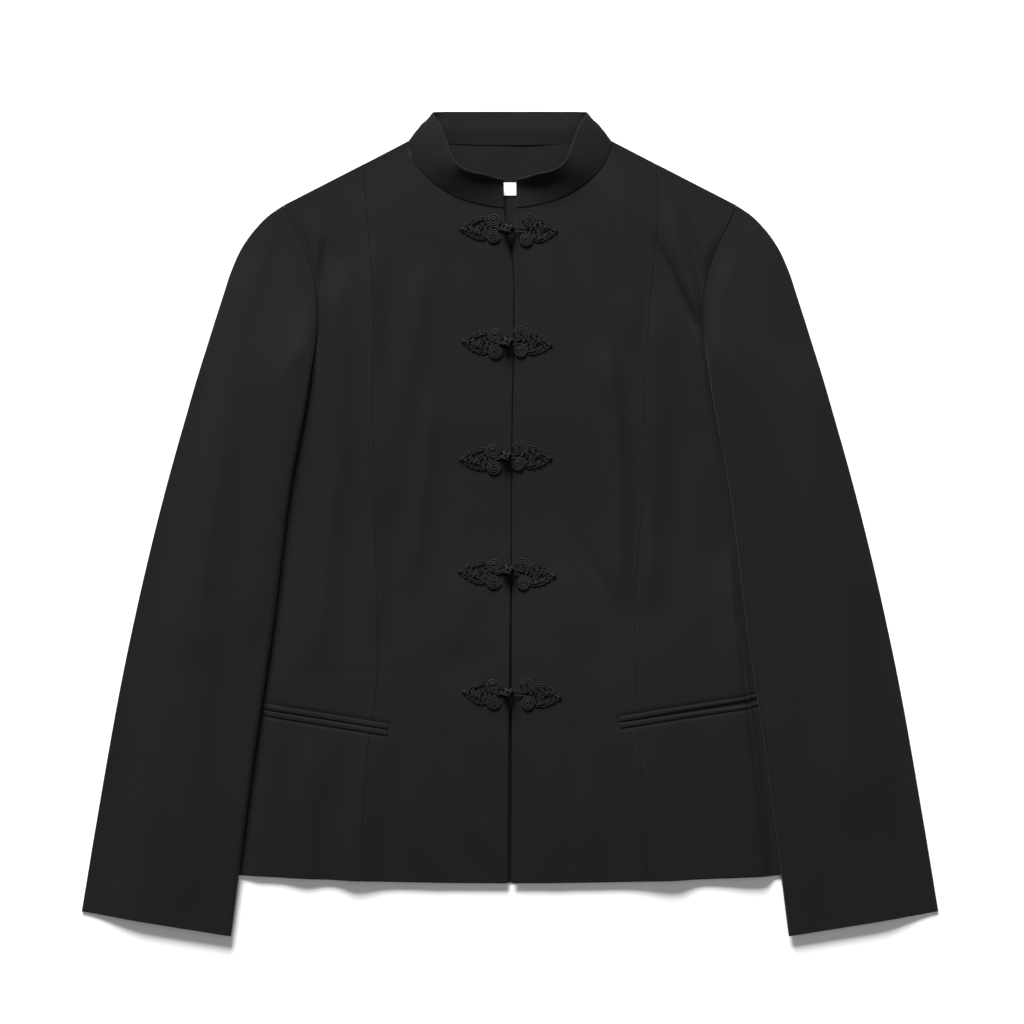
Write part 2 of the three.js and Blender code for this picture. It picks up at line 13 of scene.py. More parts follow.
import bpy
import numpy as np
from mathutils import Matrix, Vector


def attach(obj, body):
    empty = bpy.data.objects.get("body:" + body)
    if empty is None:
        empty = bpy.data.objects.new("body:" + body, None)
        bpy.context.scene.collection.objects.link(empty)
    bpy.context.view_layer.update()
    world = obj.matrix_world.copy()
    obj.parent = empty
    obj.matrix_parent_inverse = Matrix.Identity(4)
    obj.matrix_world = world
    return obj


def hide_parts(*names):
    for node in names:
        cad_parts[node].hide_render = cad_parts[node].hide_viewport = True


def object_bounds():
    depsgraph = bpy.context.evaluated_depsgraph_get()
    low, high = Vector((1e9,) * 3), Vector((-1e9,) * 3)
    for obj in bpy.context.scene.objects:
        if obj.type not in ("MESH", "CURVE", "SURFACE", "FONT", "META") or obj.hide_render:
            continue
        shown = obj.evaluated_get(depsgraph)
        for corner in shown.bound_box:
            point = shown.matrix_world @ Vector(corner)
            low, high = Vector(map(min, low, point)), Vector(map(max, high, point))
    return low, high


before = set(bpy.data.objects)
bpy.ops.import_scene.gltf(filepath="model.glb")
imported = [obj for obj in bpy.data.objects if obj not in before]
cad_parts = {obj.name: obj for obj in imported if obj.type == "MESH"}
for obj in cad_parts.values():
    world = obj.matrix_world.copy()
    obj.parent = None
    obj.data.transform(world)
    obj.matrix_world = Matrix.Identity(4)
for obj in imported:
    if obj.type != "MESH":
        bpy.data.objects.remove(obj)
cad_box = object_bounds()

MM = 0.001
print("the frame, in mm:", [[round(c / MM, 1) for c in corner] for corner in cad_box])

# %% [markdown]
# ## Camera, floor and light
# The jacket is seen from straight above, as on a copy stand. A long lens keeps the collar, which
# stands a little higher than the rest, from leaning outwards.
#
# One large soft light stands beyond the collar and a little to the left. Black cloth shows
# its folds only by how they turn to that light, so it does most of the work, and a weak
# overhead light and a pale sky lift the shadows.

# %% Camera, floor and light
low, high = (np.array(corner) for corner in cad_box)
centre = (low + high) / 2

VIEW_WIDTH = 870 * MM
VIEW_CENTRE = centre + np.array([1.7, 9.8, 0]) * MM
CAMERA_HEIGHT = 2.6
FLOOR_SIZE, FLOOR_DROP = 8, 0.2 * MM
PAPER = (0.97, 0.97, 0.97, 1)
SKY_STRENGTH = 0.07

lens = bpy.data.cameras.new("camera")
lens.sensor_width = 36
lens.lens = lens.sensor_width * CAMERA_HEIGHT / VIEW_WIDTH
camera = bpy.data.objects.new("camera", lens)
camera.location = (VIEW_CENTRE[0], VIEW_CENTRE[1], CAMERA_HEIGHT)
bpy.context.scene.collection.objects.link(camera)
bpy.context.scene.camera = camera


def area_light(name, place, size, power):
    """A square soft light at a place, in metres, facing the middle of the jacket."""
    light = bpy.data.lights.new(name, "AREA")
    light.size = size
    light.energy = power
    lamp = bpy.data.objects.new(name, light)
    lamp.location = place
    x, y, z = place
    lamp.rotation_euler = (math.atan2(math.hypot(x, y), z), 0, math.atan2(x, -y))
    bpy.context.scene.collection.objects.link(lamp)


area_light("key", (-1.1, 5.2, 3.3), 2.9, 1010)
area_light("overhead", (0.3, -0.2, 2.9), 2.4, 20)

sky = bpy.data.worlds.new("sky")
sky.use_nodes = True
haze = sky.node_tree.nodes["Background"].inputs
haze["Color"].default_value = (1, 1, 1, 1)
haze["Strength"].default_value = SKY_STRENGTH
bpy.context.scene.world = sky
bpy.context.scene.view_settings.view_transform = "Standard"

bpy.ops.mesh.primitive_plane_add(size=FLOOR_SIZE, location=(0, 0, -FLOOR_DROP))
floor = bpy.context.active_object
floor.name = "floor"
paper = bpy.data.materials.new("paper")
paper.use_nodes = True
finish = paper.node_tree.nodes["Principled BSDF"].inputs
finish["Base Color"].default_value = PAPER
finish["Roughness"].default_value = 0.9
floor.data.materials.append(paper)
print("lens", round(lens.lens, 1), "mm")

# %% [markdown]
# ## Lines
# A pattern cutter draws a jacket as a few measured points joined by smooth lines. The same two
# tools do here: a curve through points, for edges, and a smooth column of a table over the
# height, for widths. Both are plain cubic pieces, worked out for whole arrays at once.

# %% Curves and columns


def smooth(t):
    """0 below 0, 1 above 1, and an S-shaped ramp, 3t^2 - 2t^3, between."""
    t = np.clip(t, 0, 1)
    return t * t * (3 - 2 * t)


def mix(a, b, t):
    return a + (b - a) * t


def cubic(knots, values, at):
    """Cubic pieces through values at knots: each slope is that of the parabola through three."""
    slopes = np.gradient(values, knots, axis=0)
    i = np.clip(np.searchsorted(knots, at) - 1, 0, len(knots) - 2)
    span = knots[i + 1] - knots[i]
    t = (at - knots[i]) / span
    if values.ndim > 1:
        t, span = t[..., None], span[..., None]
    return (
        (2 * t**3 - 3 * t**2 + 1) * values[i]
        + (t**3 - 2 * t**2 + t) * span * slopes[i]
        + (3 * t**2 - 2 * t**3) * values[i + 1]
        + (t**3 - t**2) * span * slopes[i + 1]
    )


CURVE_STEPS = 600


def through(points):
    """The curve through some points, as a function of the share of its length, from 0 to 1."""
    spots = np.array(points, float)
    knots = np.r_[0, np.cumsum(np.linalg.norm(np.diff(spots, axis=0), axis=1))]
    dense = cubic(knots, spots, np.linspace(0, knots[-1], CURVE_STEPS))
    length = np.r_[0, np.cumsum(np.linalg.norm(np.diff(dense, axis=0), axis=1))]

    def curve(t):
        at = np.clip(t, 0, 1) * length[-1]
        return np.stack([np.interp(at, length, dense[:, k]) for k in range(dense.shape[1])], -1)

    curve.length = length[-1]
    return curve


def table(columns, *rows):
    """A table as one dictionary for each row, by the names of its columns."""
    return [dict(zip(columns.split(), row)) for row in rows]


def column(rows, name, y):
    """The value of one column of a table at heights y, on cubic pieces through its rows."""
    knots = np.array([row["y"] for row in rows], float)
    values = np.array([row[name] for row in rows], float)
    return cubic(knots, values, np.clip(y, knots[0], knots[-1]))


print("half way up a smooth ramp:", smooth(0.5))

# %% [markdown]
# ## A panel from its edges
# A pattern piece is known by its four edges. A Coons patch fills them in with a grid whose
# rows follow the edges, so a panel's seams come out exactly on the lines of the cut, and two
# panels that share a line meet all along it.

# %% Edges and patches
NEAR_EDGE = (0.05, 0.15, 0.3, 0.5, 0.75, 1.05, 1.5, 2.1, 3.0)  # mm from an edge
CLOSEST = 0.04


def back_along(curve):
    """The same curve from its end to its start."""
    return lambda t: curve(1 - np.asarray(t))


def mirror(curve, sign=-1):
    """A curve on the other side of the middle."""
    return lambda t: curve(t) * np.array([sign, 1])


def level(first, last, height, sign=1):
    """An edge whose x goes evenly from the first to the last, at y = height(x)."""

    def edge(t):
        x = mix(first, last, t)
        return np.stack([sign * x, height(x)], -1)

    return edge


def one_after_another(parts):
    """Curves joined end to end: each part is the t at which it ends, and its curve."""

    def curve(t):
        t = np.asarray(t, float)
        place = np.zeros(t.shape + (2,))
        start = 0.0
        for until, piece in parts:
            here = (t >= start) & (t <= until)
            place[here] = piece((t[here] - start) / (until - start))
            start = until
        return place

    return curve


def patch(bottom, top, start, end, u, v):
    """The plan points of a panel between four edges: at (u, v) it is the mean, weighted by
    nearness, of the points on opposite edges, less the same mean of the four corners."""
    zero, one = np.zeros(1), np.ones(1)
    b, t, s, e = bottom(u)[None], top(u)[None], start(v)[:, None], end(v)[:, None]
    u, v = u[None, :, None], v[:, None, None]
    corners = (
        (1 - u) * (1 - v) * bottom(zero)
        + u * (1 - v) * bottom(one)
        + (1 - u) * v * top(zero)
        + u * v * top(one)
    )
    return (1 - v) * b + v * t + (1 - u) * s + u * e - corners


def stations(breaks, counts, width):
    """Steps from 0 to 1 that hit every break and crowd within 3 mm of the two ends of a width
    in mm, so that a rolled edge has enough rows."""
    steps = [np.linspace(a, b, n + 1)[:-1] for a, b, n in zip(breaks, breaks[1:], counts)]
    steps = np.r_[np.concatenate(steps), 1.0]
    near = np.array(NEAR_EDGE) / width
    steps = np.unique(np.r_[steps, near, 1 - near])
    steps = steps[np.r_[True, np.diff(steps) > CLOSEST / width]]
    steps[-1] = 1.0
    return steps


print("rows of a 100 mm panel with 5 steps:", len(stations([0, 1], [5], 100)))

# %% [markdown]
# ## The cut
# These are the jacket's lines, in millimetres from the middle of its outline, with the wearer's
# left at positive X. The panels meet at princess seams, which run from the shoulder over the
# bust to the hem and take in the waist, so the front needs no darts.

# %% The cut of the jacket
SIDES = {"right": -1, "left": 1}

NECK_HALF, NECK_TOP, NECK_DEPTH, NECK_POWER, BACK_DIP = 85, 325, 57.5, 1.85, 3
FRONT_NECK_X = 5.5
SHOULDER_X, SHOULDER_SLOPE = 192, 0.515
HEM_MIDDLE, HEM_RISE, HEM_AT = -305.2, 6.4, 227
ARMPIT_Y, ARMPIT_SHARE = 112, 0.68  # the share of a panel's rows that lie below the armpit
NOTCH_Y = 158
HEM_Y = -306

BODY = table(
    "y side right left",
    (-306, 241, 126, 117),
    (-240, 233, 123.5, 114.5),
    (-185, 227, 119.5, 109),
    (-145, 222, 113.5, 107),
    (-70, 216, 112.6, 106),
    (20, 221, 114.8, 112),
    (112, 232, 116, 114),
    (200, 232, 116, 120),
    (250, 232, 120.5, 125),
    (306, 232, 124.5, 124.5),
)

FRONT_EDGE = table(
    "y right left",
    (-306, -1.9, 2.0),
    (-150, -0.9, 1.9),
    (0, 0.8, 1.9),
    (88, 1.4, 2.5),
    (173, 2.8, 3.9),
    (220, 1.8, 3.4),
    (240, -2.0, 2.6),
    (268, -FRONT_NECK_X, FRONT_NECK_X),
)

seen_armhole = through(
    [(192, 270), (186.5, 257), (174, 230), (166, 205), (163.6, 180), (164, 158)]
)
covered_armhole = through([(164, 158), (168, 142), (182, 126), (205, 116), (232, 112)])
back_armhole = through(
    [(192, 270), (180, 225), (176, 185), (182, 150), (203, 124), (232, 112)]
)


def hem_y(x):
    """The hem is a shallow parabola, lowest at the centre."""
    return HEM_MIDDLE + HEM_RISE * (np.asarray(x) / HEM_AT) ** 2


def shoulder_y(x):
    return NECK_TOP - SHOULDER_SLOPE * (np.abs(x) - NECK_HALF)


def side_seam_x(y):
    return column(BODY, "side", y)


def back_neck(t):
    x = mix(-NECK_HALF, NECK_HALF, t)
    return np.stack([x, NECK_TOP - BACK_DIP * (1 - (x / NECK_HALF) ** 2)], -1)


def neckline(t):
    """A quarter of a rounded oval: cosine and sine of one angle, each to the power 2/n."""
    reach = math.asin((FRONT_NECK_X / NECK_HALF) ** (NECK_POWER / 2))
    angle = mix(0, math.pi / 2 - reach, np.asarray(t))
    x = NECK_HALF * np.cos(angle) ** (2 / NECK_POWER)
    y = NECK_TOP - NECK_DEPTH * np.sin(angle) ** (2 / NECK_POWER)
    return np.stack([x, y], -1)


def side_and_armhole(armhole):
    """The side of a panel, from the hem to the armpit and round the armhole to the shoulder."""

    def side(t):
        y = mix(hem_y(side_seam_x(np.array(HEM_Y))), ARMPIT_Y, t)
        return np.stack([side_seam_x(y), y], -1)

    return one_after_another([(ARMPIT_SHARE, side), (1, armhole)])


hem_corner = float(side_seam_x(np.array(HEM_Y)))
print("front neckline from", neckline(0), "to", neckline(1), "and hem to", hem_corner)

# %% [markdown]
# ## How high the cloth lies
# Over the table, the back is flat. The fronts lie on it with a little air between, more over
# the bust and the hip, where the jacket is cut to stand away from the waist. On top of that
# come the folds.
#
# A fold is a soft ridge along a drawn line. Its section is a bell curve, e^-(d/w)^2, with one
# width on its left and another on its right, so that it can lean, and it dies out at both ends.

# %% Loft and folds
CLOTH = 1.2  # suiting with its lining, as a wall
SEAM_GAP = 0.2
BACK_TOP = 1.5
LAID_GAP = 0.3  # between two layers that lie on each other
FACING_RISE, FACING_SIDE, FACING_LOW = 1.3, (130, 50), (190, 70)  # height, then edges and runs
SIDE_PANEL_AT, SIDE_PANEL_RUN = 112, 34
FOLDS_RUN, LOFT_RUN = 20, 50  # from the shoulder line down
FOLD_STEPS = 40

LOFT = table(
    "y height",
    (-306, 3.5),
    (-250, 5.4),
    (-185, 6.8),
    (-120, 6.4),
    (-60, 3.2),
    (-15, 1.5),
    (40, 1.6),
    (90, 2.8),
    (150, 3.2),
    (220, 2.6),
    (330, 1.2),
)

FOLD_COLUMNS = "height left right fade path"
FOLDS = table(
    FOLD_COLUMNS,
    # the wearer's right front
    (3.7, 11, 13, 50, [(-148, 218), (-147, 60), (-158, -40), (-163, -120)]),
    (3.6, 9, 11, 50, [(-119, 240), (-117, 60), (-114, -100)]),
    (3.0, 14, 13, 50, [(-70, 226), (-84, 153), (-97, 84), (-106, 0)]),
    (2.6, 13, 9, 50, [(-66, 112), (-75, 26), (-84, -55)]),
    (1.2, 8, 7, 50, [(-42, 220), (-32, 160)]),
    (-2.4, 9, 10, 50, [(-150, 278), (-145, 242), (-148, 196)]),
    (-3.4, 4, 5, 50, [(-188, 262), (-175, 234), (-169, 205), (-164, 158)]),
    (-2.8, 4, 4, 50, [(-156, 244), (-159, 214), (-161, 186)]),
    (2.0, 13, 9, 50, [(-50, -196), (-32, -250), (-8, -292)]),
    (1.8, 12, 9, 50, [(-74, -200), (-78, -262), (-58, -304)]),
    (4.6, 12, 18, 150, [(-116, -160), (-128, -250), (-134, -320), (-142, -460)]),
    (3.0, 12, 14, 50, [(-166, -180), (-173, -250), (-176, -330)]),
    (-0.25, 4, 4, 50, [(-195, -125), (-150, -127), (-88, -124)]),
    (-0.5, 12, 12, 50, [(-66, -116), (-34, -113), (-6, -108)]),
    (1.7, 20, 18, 50, [(-32, -36), (-56, -116)]),
    (1.3, 20, 18, 50, [(-46, -132), (-28, -222)]),
    # the wearer's left front
    (2.4, 14, 9, 50, [(25, 232), (46, 153), (62, 83), (72, 10)]),
    (2.4, 10, 8, 50, [(60, 232), (77, 169), (90, 105)]),
    (4.0, 14, 9, 50, [(80, 150), (88, 100), (92, 30), (94, -70)]),
    (2.6, 13, 9, 50, [(84, 300), (104, 214), (108, 150)]),
    (4.2, 8, 15, 50, [(122, 190), (121, 40), (117, -70)]),
    (-5.0, 4, 5, 50, [(120, 245), (137, 205), (162, 156)]),
    (2.4, 6, 4, 50, [(134, 262), (148, 214), (163, 172)]),
    (-3.6, 4, 4, 50, [(146, 268), (158, 222), (166, 180)]),
    (-2.6, 5, 5, 50, [(184, 250), (170, 214), (164, 170)]),
    (-1.4, 7, 7, 50, [(22, 34), (52, -8), (88, -68)]),
    (-1.0, 6, 6, 50, [(12, 22), (28, -10)]),
    (1.6, 20, 18, 50, [(36, -34), (68, -108)]),
    (1.9, 18, 15, 50, [(92, -105), (86, -220)]),
    (1.8, 14, 9, 50, [(36, -178), (40, -306)]),
    (1.7, 12, 11, 50, [(64, -200), (72, -300)]),
    (5.2, 24, 13, 150, [(104, -150), (124, -245), (144, -320), (164, -460)]),
    (2.2, 14, 14, 50, [(154, -110), (162, 70)]),
    (4.4, 30, 12, 50, [(184, -30), (197, -150), (206, -250), (212, -330)]),
)


def fold_height(fold, x, y):
    """The bell-shaped section of one fold at plan points, by their distance to its line."""
    line = through(fold["path"])
    steps = np.linspace(0, 1, FOLD_STEPS)
    spots = line(steps)
    heading = np.gradient(spots, axis=0)
    heading /= np.linalg.norm(heading, axis=1, keepdims=True)
    upward = 1 if spots[-1, 1] > spots[0, 1] else -1
    gap = np.stack([x, y], -1)[..., None, :] - spots
    nearest = (gap**2).sum(-1).argmin(-1)
    gap = np.take_along_axis(gap, nearest[..., None, None], -2)[..., 0, :]
    heading = heading[nearest]
    right = upward * (gap[..., 0] * heading[..., 1] - gap[..., 1] * heading[..., 0])
    along = steps[nearest] * line.length + (gap * heading).sum(-1)
    width = np.where(right > 0, fold["right"], fold["left"])
    fade = smooth(np.minimum(along, line.length - along) / min(0.5 * line.length, fold["fade"]) + 0.25)
    return fold["height"] * fade * np.exp(-(right**2) / width**2)


FALLS = table(
    "y right_at right_run left_at left_run side",
    (-306, 234, 20, 228, 11, 0.7),
    (-221, 222, 20, 216.5, 10, 0.85),
    (-130, 209, 18, 204, 8, 1.0),
    (-86, 202, 16, 198.5, 7, 1.0),
    (35, 187, 9, 185, 6, 1.0),
    (108, 174.5, 9, 173, 7, 1.0),
    (140, 169, 8, 169, 7, 1.0),
    (162, 166, 8, 166, 8, 1.0),
    (232, 181, 10, 182, 9, 1.0),
    (275, 212, 26, 212, 26, 1.0),
)


def front_rise(x, y):
    """Height of a front's underside: on the back at the side seam and the shoulder, over the
    facing round the neck, and lofted and folded between. It falls to the back just under the
    edge of the sleeve that lies on it, and its side panels come down further at the hem. The
    last line keeps a trough from going through the back."""
    far = np.abs(x)
    at, run = (
        np.where(x < 0, column(FALLS, f"right_{name}", y), column(FALLS, f"left_{name}", y))
        for name in ("at", "run")
    )
    inside = smooth((at - far) / run)
    lower_at_side = mix(1, column(FALLS, "side", y), smooth((far - SIDE_PANEL_AT) / SIDE_PANEL_RUN))
    below_shoulder = shoulder_y(x) - y
    edge = smooth(below_shoulder / FOLDS_RUN)
    over_facing = smooth((FACING_SIDE[0] - far) / FACING_SIDE[1])
    over_facing = FACING_RISE * over_facing * smooth((y - FACING_LOW[0]) / FACING_LOW[1])
    loft = column(LOFT, "height", y) * lower_at_side * smooth(below_shoulder / LOFT_RUN)
    folds = sum(fold_height(fold, x, y) for fold in FOLDS)
    raised = over_facing + (loft + folds * edge) * inside
    return BACK_TOP + LAID_GAP + 0.5 * (raised + np.sqrt(raised**2 + 0.5))


spots = np.meshgrid(np.linspace(-200, 200, 41), np.linspace(-300, 300, 61))
print("highest point of the fronts' underside:", round(float(front_rise(*spots).max()), 1), "mm")

# %% [markdown]
# ## From a grid to a piece of cloth
# A panel is a grid of points in two skins, one for each face of the cloth, joined by a rim.
# Where cloth is turned under at a seam or a hem its edge is round, so near the edge the two
# skins close up on a quarter circle. Every panel also gets its own UV map, in metres along its
# grain, which the weave will follow.

# %% Shells


def side_faces(rows, columns, around):
    """Corner numbers of the quads of a grid, with the corner numbers that their UVs have."""
    i, j = np.meshgrid(np.arange(rows - 1), np.arange(columns - (0 if around else 1)), indexing="ij")
    wide = columns + 1 if around else columns

    def corner(di, dj, count):
        return (i + di) * count + (j + dj) % (columns if count == columns else wide)

    order = ((0, 0), (0, 1), (1, 1), (1, 0))
    faces = np.stack([corner(di, dj, columns) for di, dj in order], -1).reshape(-1, 4)
    spots = np.stack([(i + di) * wide + j + dj for di, dj in order], -1).reshape(-1, 4)
    return faces, spots


def make_piece(name, vertices, faces, corner_uv, finish):
    """A mesh from arrays: vertices in mm, quads, and one UV for each corner of each quad."""
    a, b, c, d = (vertices[faces[:, k]] for k in range(4))
    volume = (a * np.cross(b, c)).sum() + (a * np.cross(c, d)).sum()
    if volume < 0:
        faces = faces[:, ::-1]
        corner_uv = corner_uv[:, ::-1]
    mesh = bpy.data.meshes.new(name)
    mesh.from_pydata((vertices * MM).tolist(), [], faces.tolist())
    layer = mesh.uv_layers.new(name="grain")
    layer.data.foreach_set("uv", (corner_uv * MM).reshape(-1).astype(np.float32))
    mesh.polygons.foreach_set("use_smooth", np.ones(len(faces), bool))
    mesh.materials.append(finish)
    mesh.update()
    piece = bpy.data.objects.new(name, mesh)
    bpy.context.scene.collection.objects.link(piece)
    return piece


def shell(name, top, under, uv, finish, around=False):
    """A closed wall between two skins of one grid. Its rim joins the skins along each edge."""
    rows, columns = top.shape[:2]
    count = rows * columns
    faces, spots = side_faces(rows, columns, around)
    flat_uv = uv.reshape(-1, 2)
    all_faces = [faces, faces[:, ::-1] + count]
    all_uv = [flat_uv[spots], flat_uv[spots[:, ::-1]]]
    edges = [np.arange(columns), (rows - 1) * columns + np.arange(columns)[::-1]]
    if around:
        edges = [np.r_[edge, edge[:1]] for edge in edges]
    else:
        edges += [np.arange(rows)[::-1] * columns, np.arange(rows) * columns + columns - 1]
    for edge in edges:
        a, b = edge[:-1], edge[1:]
        rim = np.stack([b, a, a + count, b + count], -1)
        all_faces.append(rim)
        all_uv.append(flat_uv[np.minimum(rim % count, len(flat_uv) - 1)])
    vertices = np.concatenate([top.reshape(-1, 3), under.reshape(-1, 3)])
    return make_piece(name, vertices, np.concatenate(all_faces), np.concatenate(all_uv), finish)


print("a 3 by 3 grid has", len(side_faces(3, 3, False)[0]), "quads")

# %% [markdown]
# ## Rolled edges
# The thickness of a panel is full in its middle and closes at its edges. The distance of each
# grid point from the four edges is all that this needs.

# %% Rolled edges


def edge_distance(plan):
    """Distance in the grid from each of its four edges: along rows, then along columns."""
    across = np.linalg.norm(np.diff(plan, axis=1), axis=2)
    along = np.linalg.norm(np.diff(plan, axis=0), axis=2)
    from_start = np.pad(np.cumsum(across, axis=1), ((0, 0), (1, 0)))
    from_bottom = np.pad(np.cumsum(along, axis=0), ((1, 0), (0, 0)))
    return from_start, from_start[:, -1:] - from_start, from_bottom, from_bottom[-1:] - from_bottom


def quarter_round(distance, radius):
    """Share of the full thickness at a distance from a round edge: a quarter circle."""
    return np.sqrt(np.clip(1 - (1 - np.clip(distance / radius, 0, 1)) ** 2, 0, 1))


def panel(name, plan, rise, finish, thickness=CLOTH, rolls=(0.6, 0.6, 1.2, 0.6)):
    """A panel over a plan: its middle surface half a thickness over its rise, with both skins
    closing up at its edges. The rolls are the edges' radii at start, end, bottom and top."""
    closing = np.ones(plan.shape[:2])
    for distance, radius in zip(edge_distance(plan), rolls):
        closing = closing * quarter_round(distance, radius)
    half = np.maximum(closing, 0.08) * thickness / 2
    middle = rise + thickness / 2
    top = np.dstack([plan, middle + half])
    under = np.dstack([plan, middle - half])
    return shell(name, top, under, plan, finish)


print("thickness a third of the way into a roll:", round(float(quarter_round(1, 3)), 2))

# %% [markdown]
# ## The cloth's finish
# The suiting is a fine twill: yarns 0.4 mm apart cross two by two, so that faint ribs run
# across the cloth at a slant. From arm's length it reads as an even black with a little bloom
# where fibres catch the light at a low angle. So the weave is a bump on the panel's own UVs,
# with painted shade on its ribs in the colour, the bloom is the shader's sheen, and a broad,
# weak noise keeps the black from being dead even. The weave is a node group, so that every
# cloth uses the same one at its own scale.

# %% Weave


class Nodes:
    """Adds nodes to a tree and links them, so that a material reads as a short list."""

    def __init__(self, tree):
        self.tree = tree

    def add(self, kind, **settings):
        node = self.tree.nodes.new(kind)
        for key, value in settings.items():
            if hasattr(node, key):
                setattr(node, key, value)
            else:
                node.inputs[key.replace("_", " ")].default_value = value
        return node

    def join(self, source, target):
        self.tree.links.new(source, target)

    def tone(self, shader, colour, brightness):
        """The shader's colour, times a brightness."""
        scaled = self.add("ShaderNodeVectorMath", operation="SCALE")
        scaled.inputs[0].default_value = colour
        self.join(brightness, scaled.inputs["Scale"])
        self.join(scaled.outputs["Vector"], shader.inputs["Base Color"])

    def bump(self, shader, height, strength, distance):
        """A bump on the shader's normal, with its distance in metres."""
        relief = self.add("ShaderNodeBump", Strength=strength, Distance=distance)
        self.join(height, relief.inputs["Height"])
        self.join(relief.outputs["Normal"], shader.inputs["Normal"])

    def calc(self, kind, a, b=None):
        node = self.tree.nodes.new("ShaderNodeMath")
        node.operation = kind
        for socket, value in zip(node.inputs, (a, b)):
            if value is None:
                continue
            if isinstance(value, (int, float)):
                socket.default_value = value
            else:
                self.join(value, socket)
        return node.outputs[0]


def twill_group():
    """Twill: the height is the larger of a warp wave and a weft wave, each of which goes
    under the other along slanting lines. Shade is the same pattern, softened, and is used as
    painted shade on the ribs."""
    tree = bpy.data.node_groups.new("twill", "ShaderNodeTree")
    for name, way, kind in (
        ("UV", "INPUT", "Vector"),
        ("Yarns per metre", "INPUT", "Float"),
        ("Height", "OUTPUT", "Float"),
        ("Shade", "OUTPUT", "Float"),
    ):
        tree.interface.new_socket(name, in_out=way, socket_type=f"NodeSocket{kind}")
    n = Nodes(tree)
    given = n.add("NodeGroupInput")
    made = n.add("NodeGroupOutput")
    split = n.add("ShaderNodeSeparateXYZ")
    n.join(given.outputs["UV"], split.inputs[0])
    across = n.calc("MULTIPLY", split.outputs["X"], given.outputs["Yarns per metre"])
    along = n.calc("MULTIPLY", split.outputs["Y"], given.outputs["Yarns per metre"])
    warp = n.calc("ABSOLUTE", n.calc("SINE", n.calc("MULTIPLY", across, math.pi)))
    weft = n.calc("ABSOLUTE", n.calc("SINE", n.calc("MULTIPLY", along, math.pi)))
    slant = n.calc("MULTIPLY", n.calc("ADD", across, along), math.pi / 2)
    over = n.calc("MULTIPLY", n.calc("ADD", n.calc("SINE", slant), 1.0), 0.5)
    warp_seen = n.calc("MULTIPLY", warp, over)
    weft_seen = n.calc("MULTIPLY", weft, n.calc("SUBTRACT", 1.0, over))
    height = n.calc("MAXIMUM", warp_seen, weft_seen)
    n.join(height, made.inputs["Height"])
    n.join(over, made.inputs["Shade"])
    return tree


TWILL = twill_group()
print("weave group:", [item.name for item in TWILL.interface.items_tree])

# %% [markdown]
# ## Three cloths
# The suiting, the facing and the label differ only in colour, gloss, yarn and evenness. One
# function makes them all, with the weave group in each.

# %% Cloth materials


def cloth(name, colour, roughness, sheen, yarns, depth, unevenness=0.12):
    """A woven cloth: twill bump on its UVs, painted shade on its ribs, and a colour that a slow noise varies
    a little.
    """
    material = bpy.data.materials.new(name)
    material.use_nodes = True
    n = Nodes(material.node_tree)
    shader = material.node_tree.nodes["Principled BSDF"]
    shader.inputs["Sheen Weight"].default_value = sheen
    shader.inputs["Sheen Roughness"].default_value = 0.45
    shader.inputs["Sheen Tint"].default_value = (1.0, 0.97, 0.98, 1)
    shader.inputs["Specular IOR Level"].default_value = 0.13
    grain = n.add("ShaderNodeUVMap", uv_map="grain")
    weave = n.add("ShaderNodeGroup", node_tree=TWILL)
    weave.inputs["Yarns per metre"].default_value = yarns
    n.join(grain.outputs["UV"], weave.inputs["UV"])

    place = n.add("ShaderNodeTexCoord")
    slow = n.add("ShaderNodeTexNoise", Scale=22.0, Detail=4.0, Roughness=0.6)
    fine = n.add("ShaderNodeTexNoise", Scale=900.0, Detail=2.0, Roughness=0.7)
    n.join(place.outputs["Object"], slow.inputs["Vector"])
    n.join(place.outputs["Object"], fine.inputs["Vector"])

    lift = n.calc("MULTIPLY", n.calc("SUBTRACT", slow.outputs["Fac"], 0.5), unevenness * 2)
    fleck = n.calc("MULTIPLY", n.calc("SUBTRACT", fine.outputs["Fac"], 0.5), unevenness * 2.4)
    # painted shade: the colour is lighter and darker along the twill's ribs
    painted_rib_shade = n.calc("MULTIPLY", n.calc("SUBTRACT", weave.outputs["Shade"], 0.5), 0.2)
    brightness = n.calc("ADD", 1.0, n.calc("ADD", lift, n.calc("ADD", fleck, painted_rib_shade)))
    n.tone(shader, colour, brightness)
    rough = n.calc("ADD", roughness, n.calc("MULTIPLY", fleck, 0.4))
    n.join(rough, shader.inputs["Roughness"])
    nap = n.calc("MULTIPLY", fine.outputs["Fac"], 0.6)
    n.bump(shader, n.calc("ADD", weave.outputs["Height"], nap), 0.5, depth)
    return material


SUITING = cloth("suiting", (0.0057, 0.0053, 0.0053), 0.78, 0.055, 2200, 0.00012)
FACING = cloth("facing", (0.0055, 0.0051, 0.0051), 0.8, 0.045, 2200, 0.0001)
LABEL = cloth("label_satin", (0.82, 0.82, 0.80), 0.42, 0.05, 3600, 0.00006, 0.03)
print("cloth materials:", [m.name for m in (SUITING, FACING, LABEL)])

# %% [markdown]
# ## The back, its facing and the label
# The back is one plain panel, and the rest of the jacket lies on it. Inside its neck a shaped
# facing hides the raw edge of the collar seam, and it holds the maker's label: a short satin
# tape with its ends turned under, left bare here.

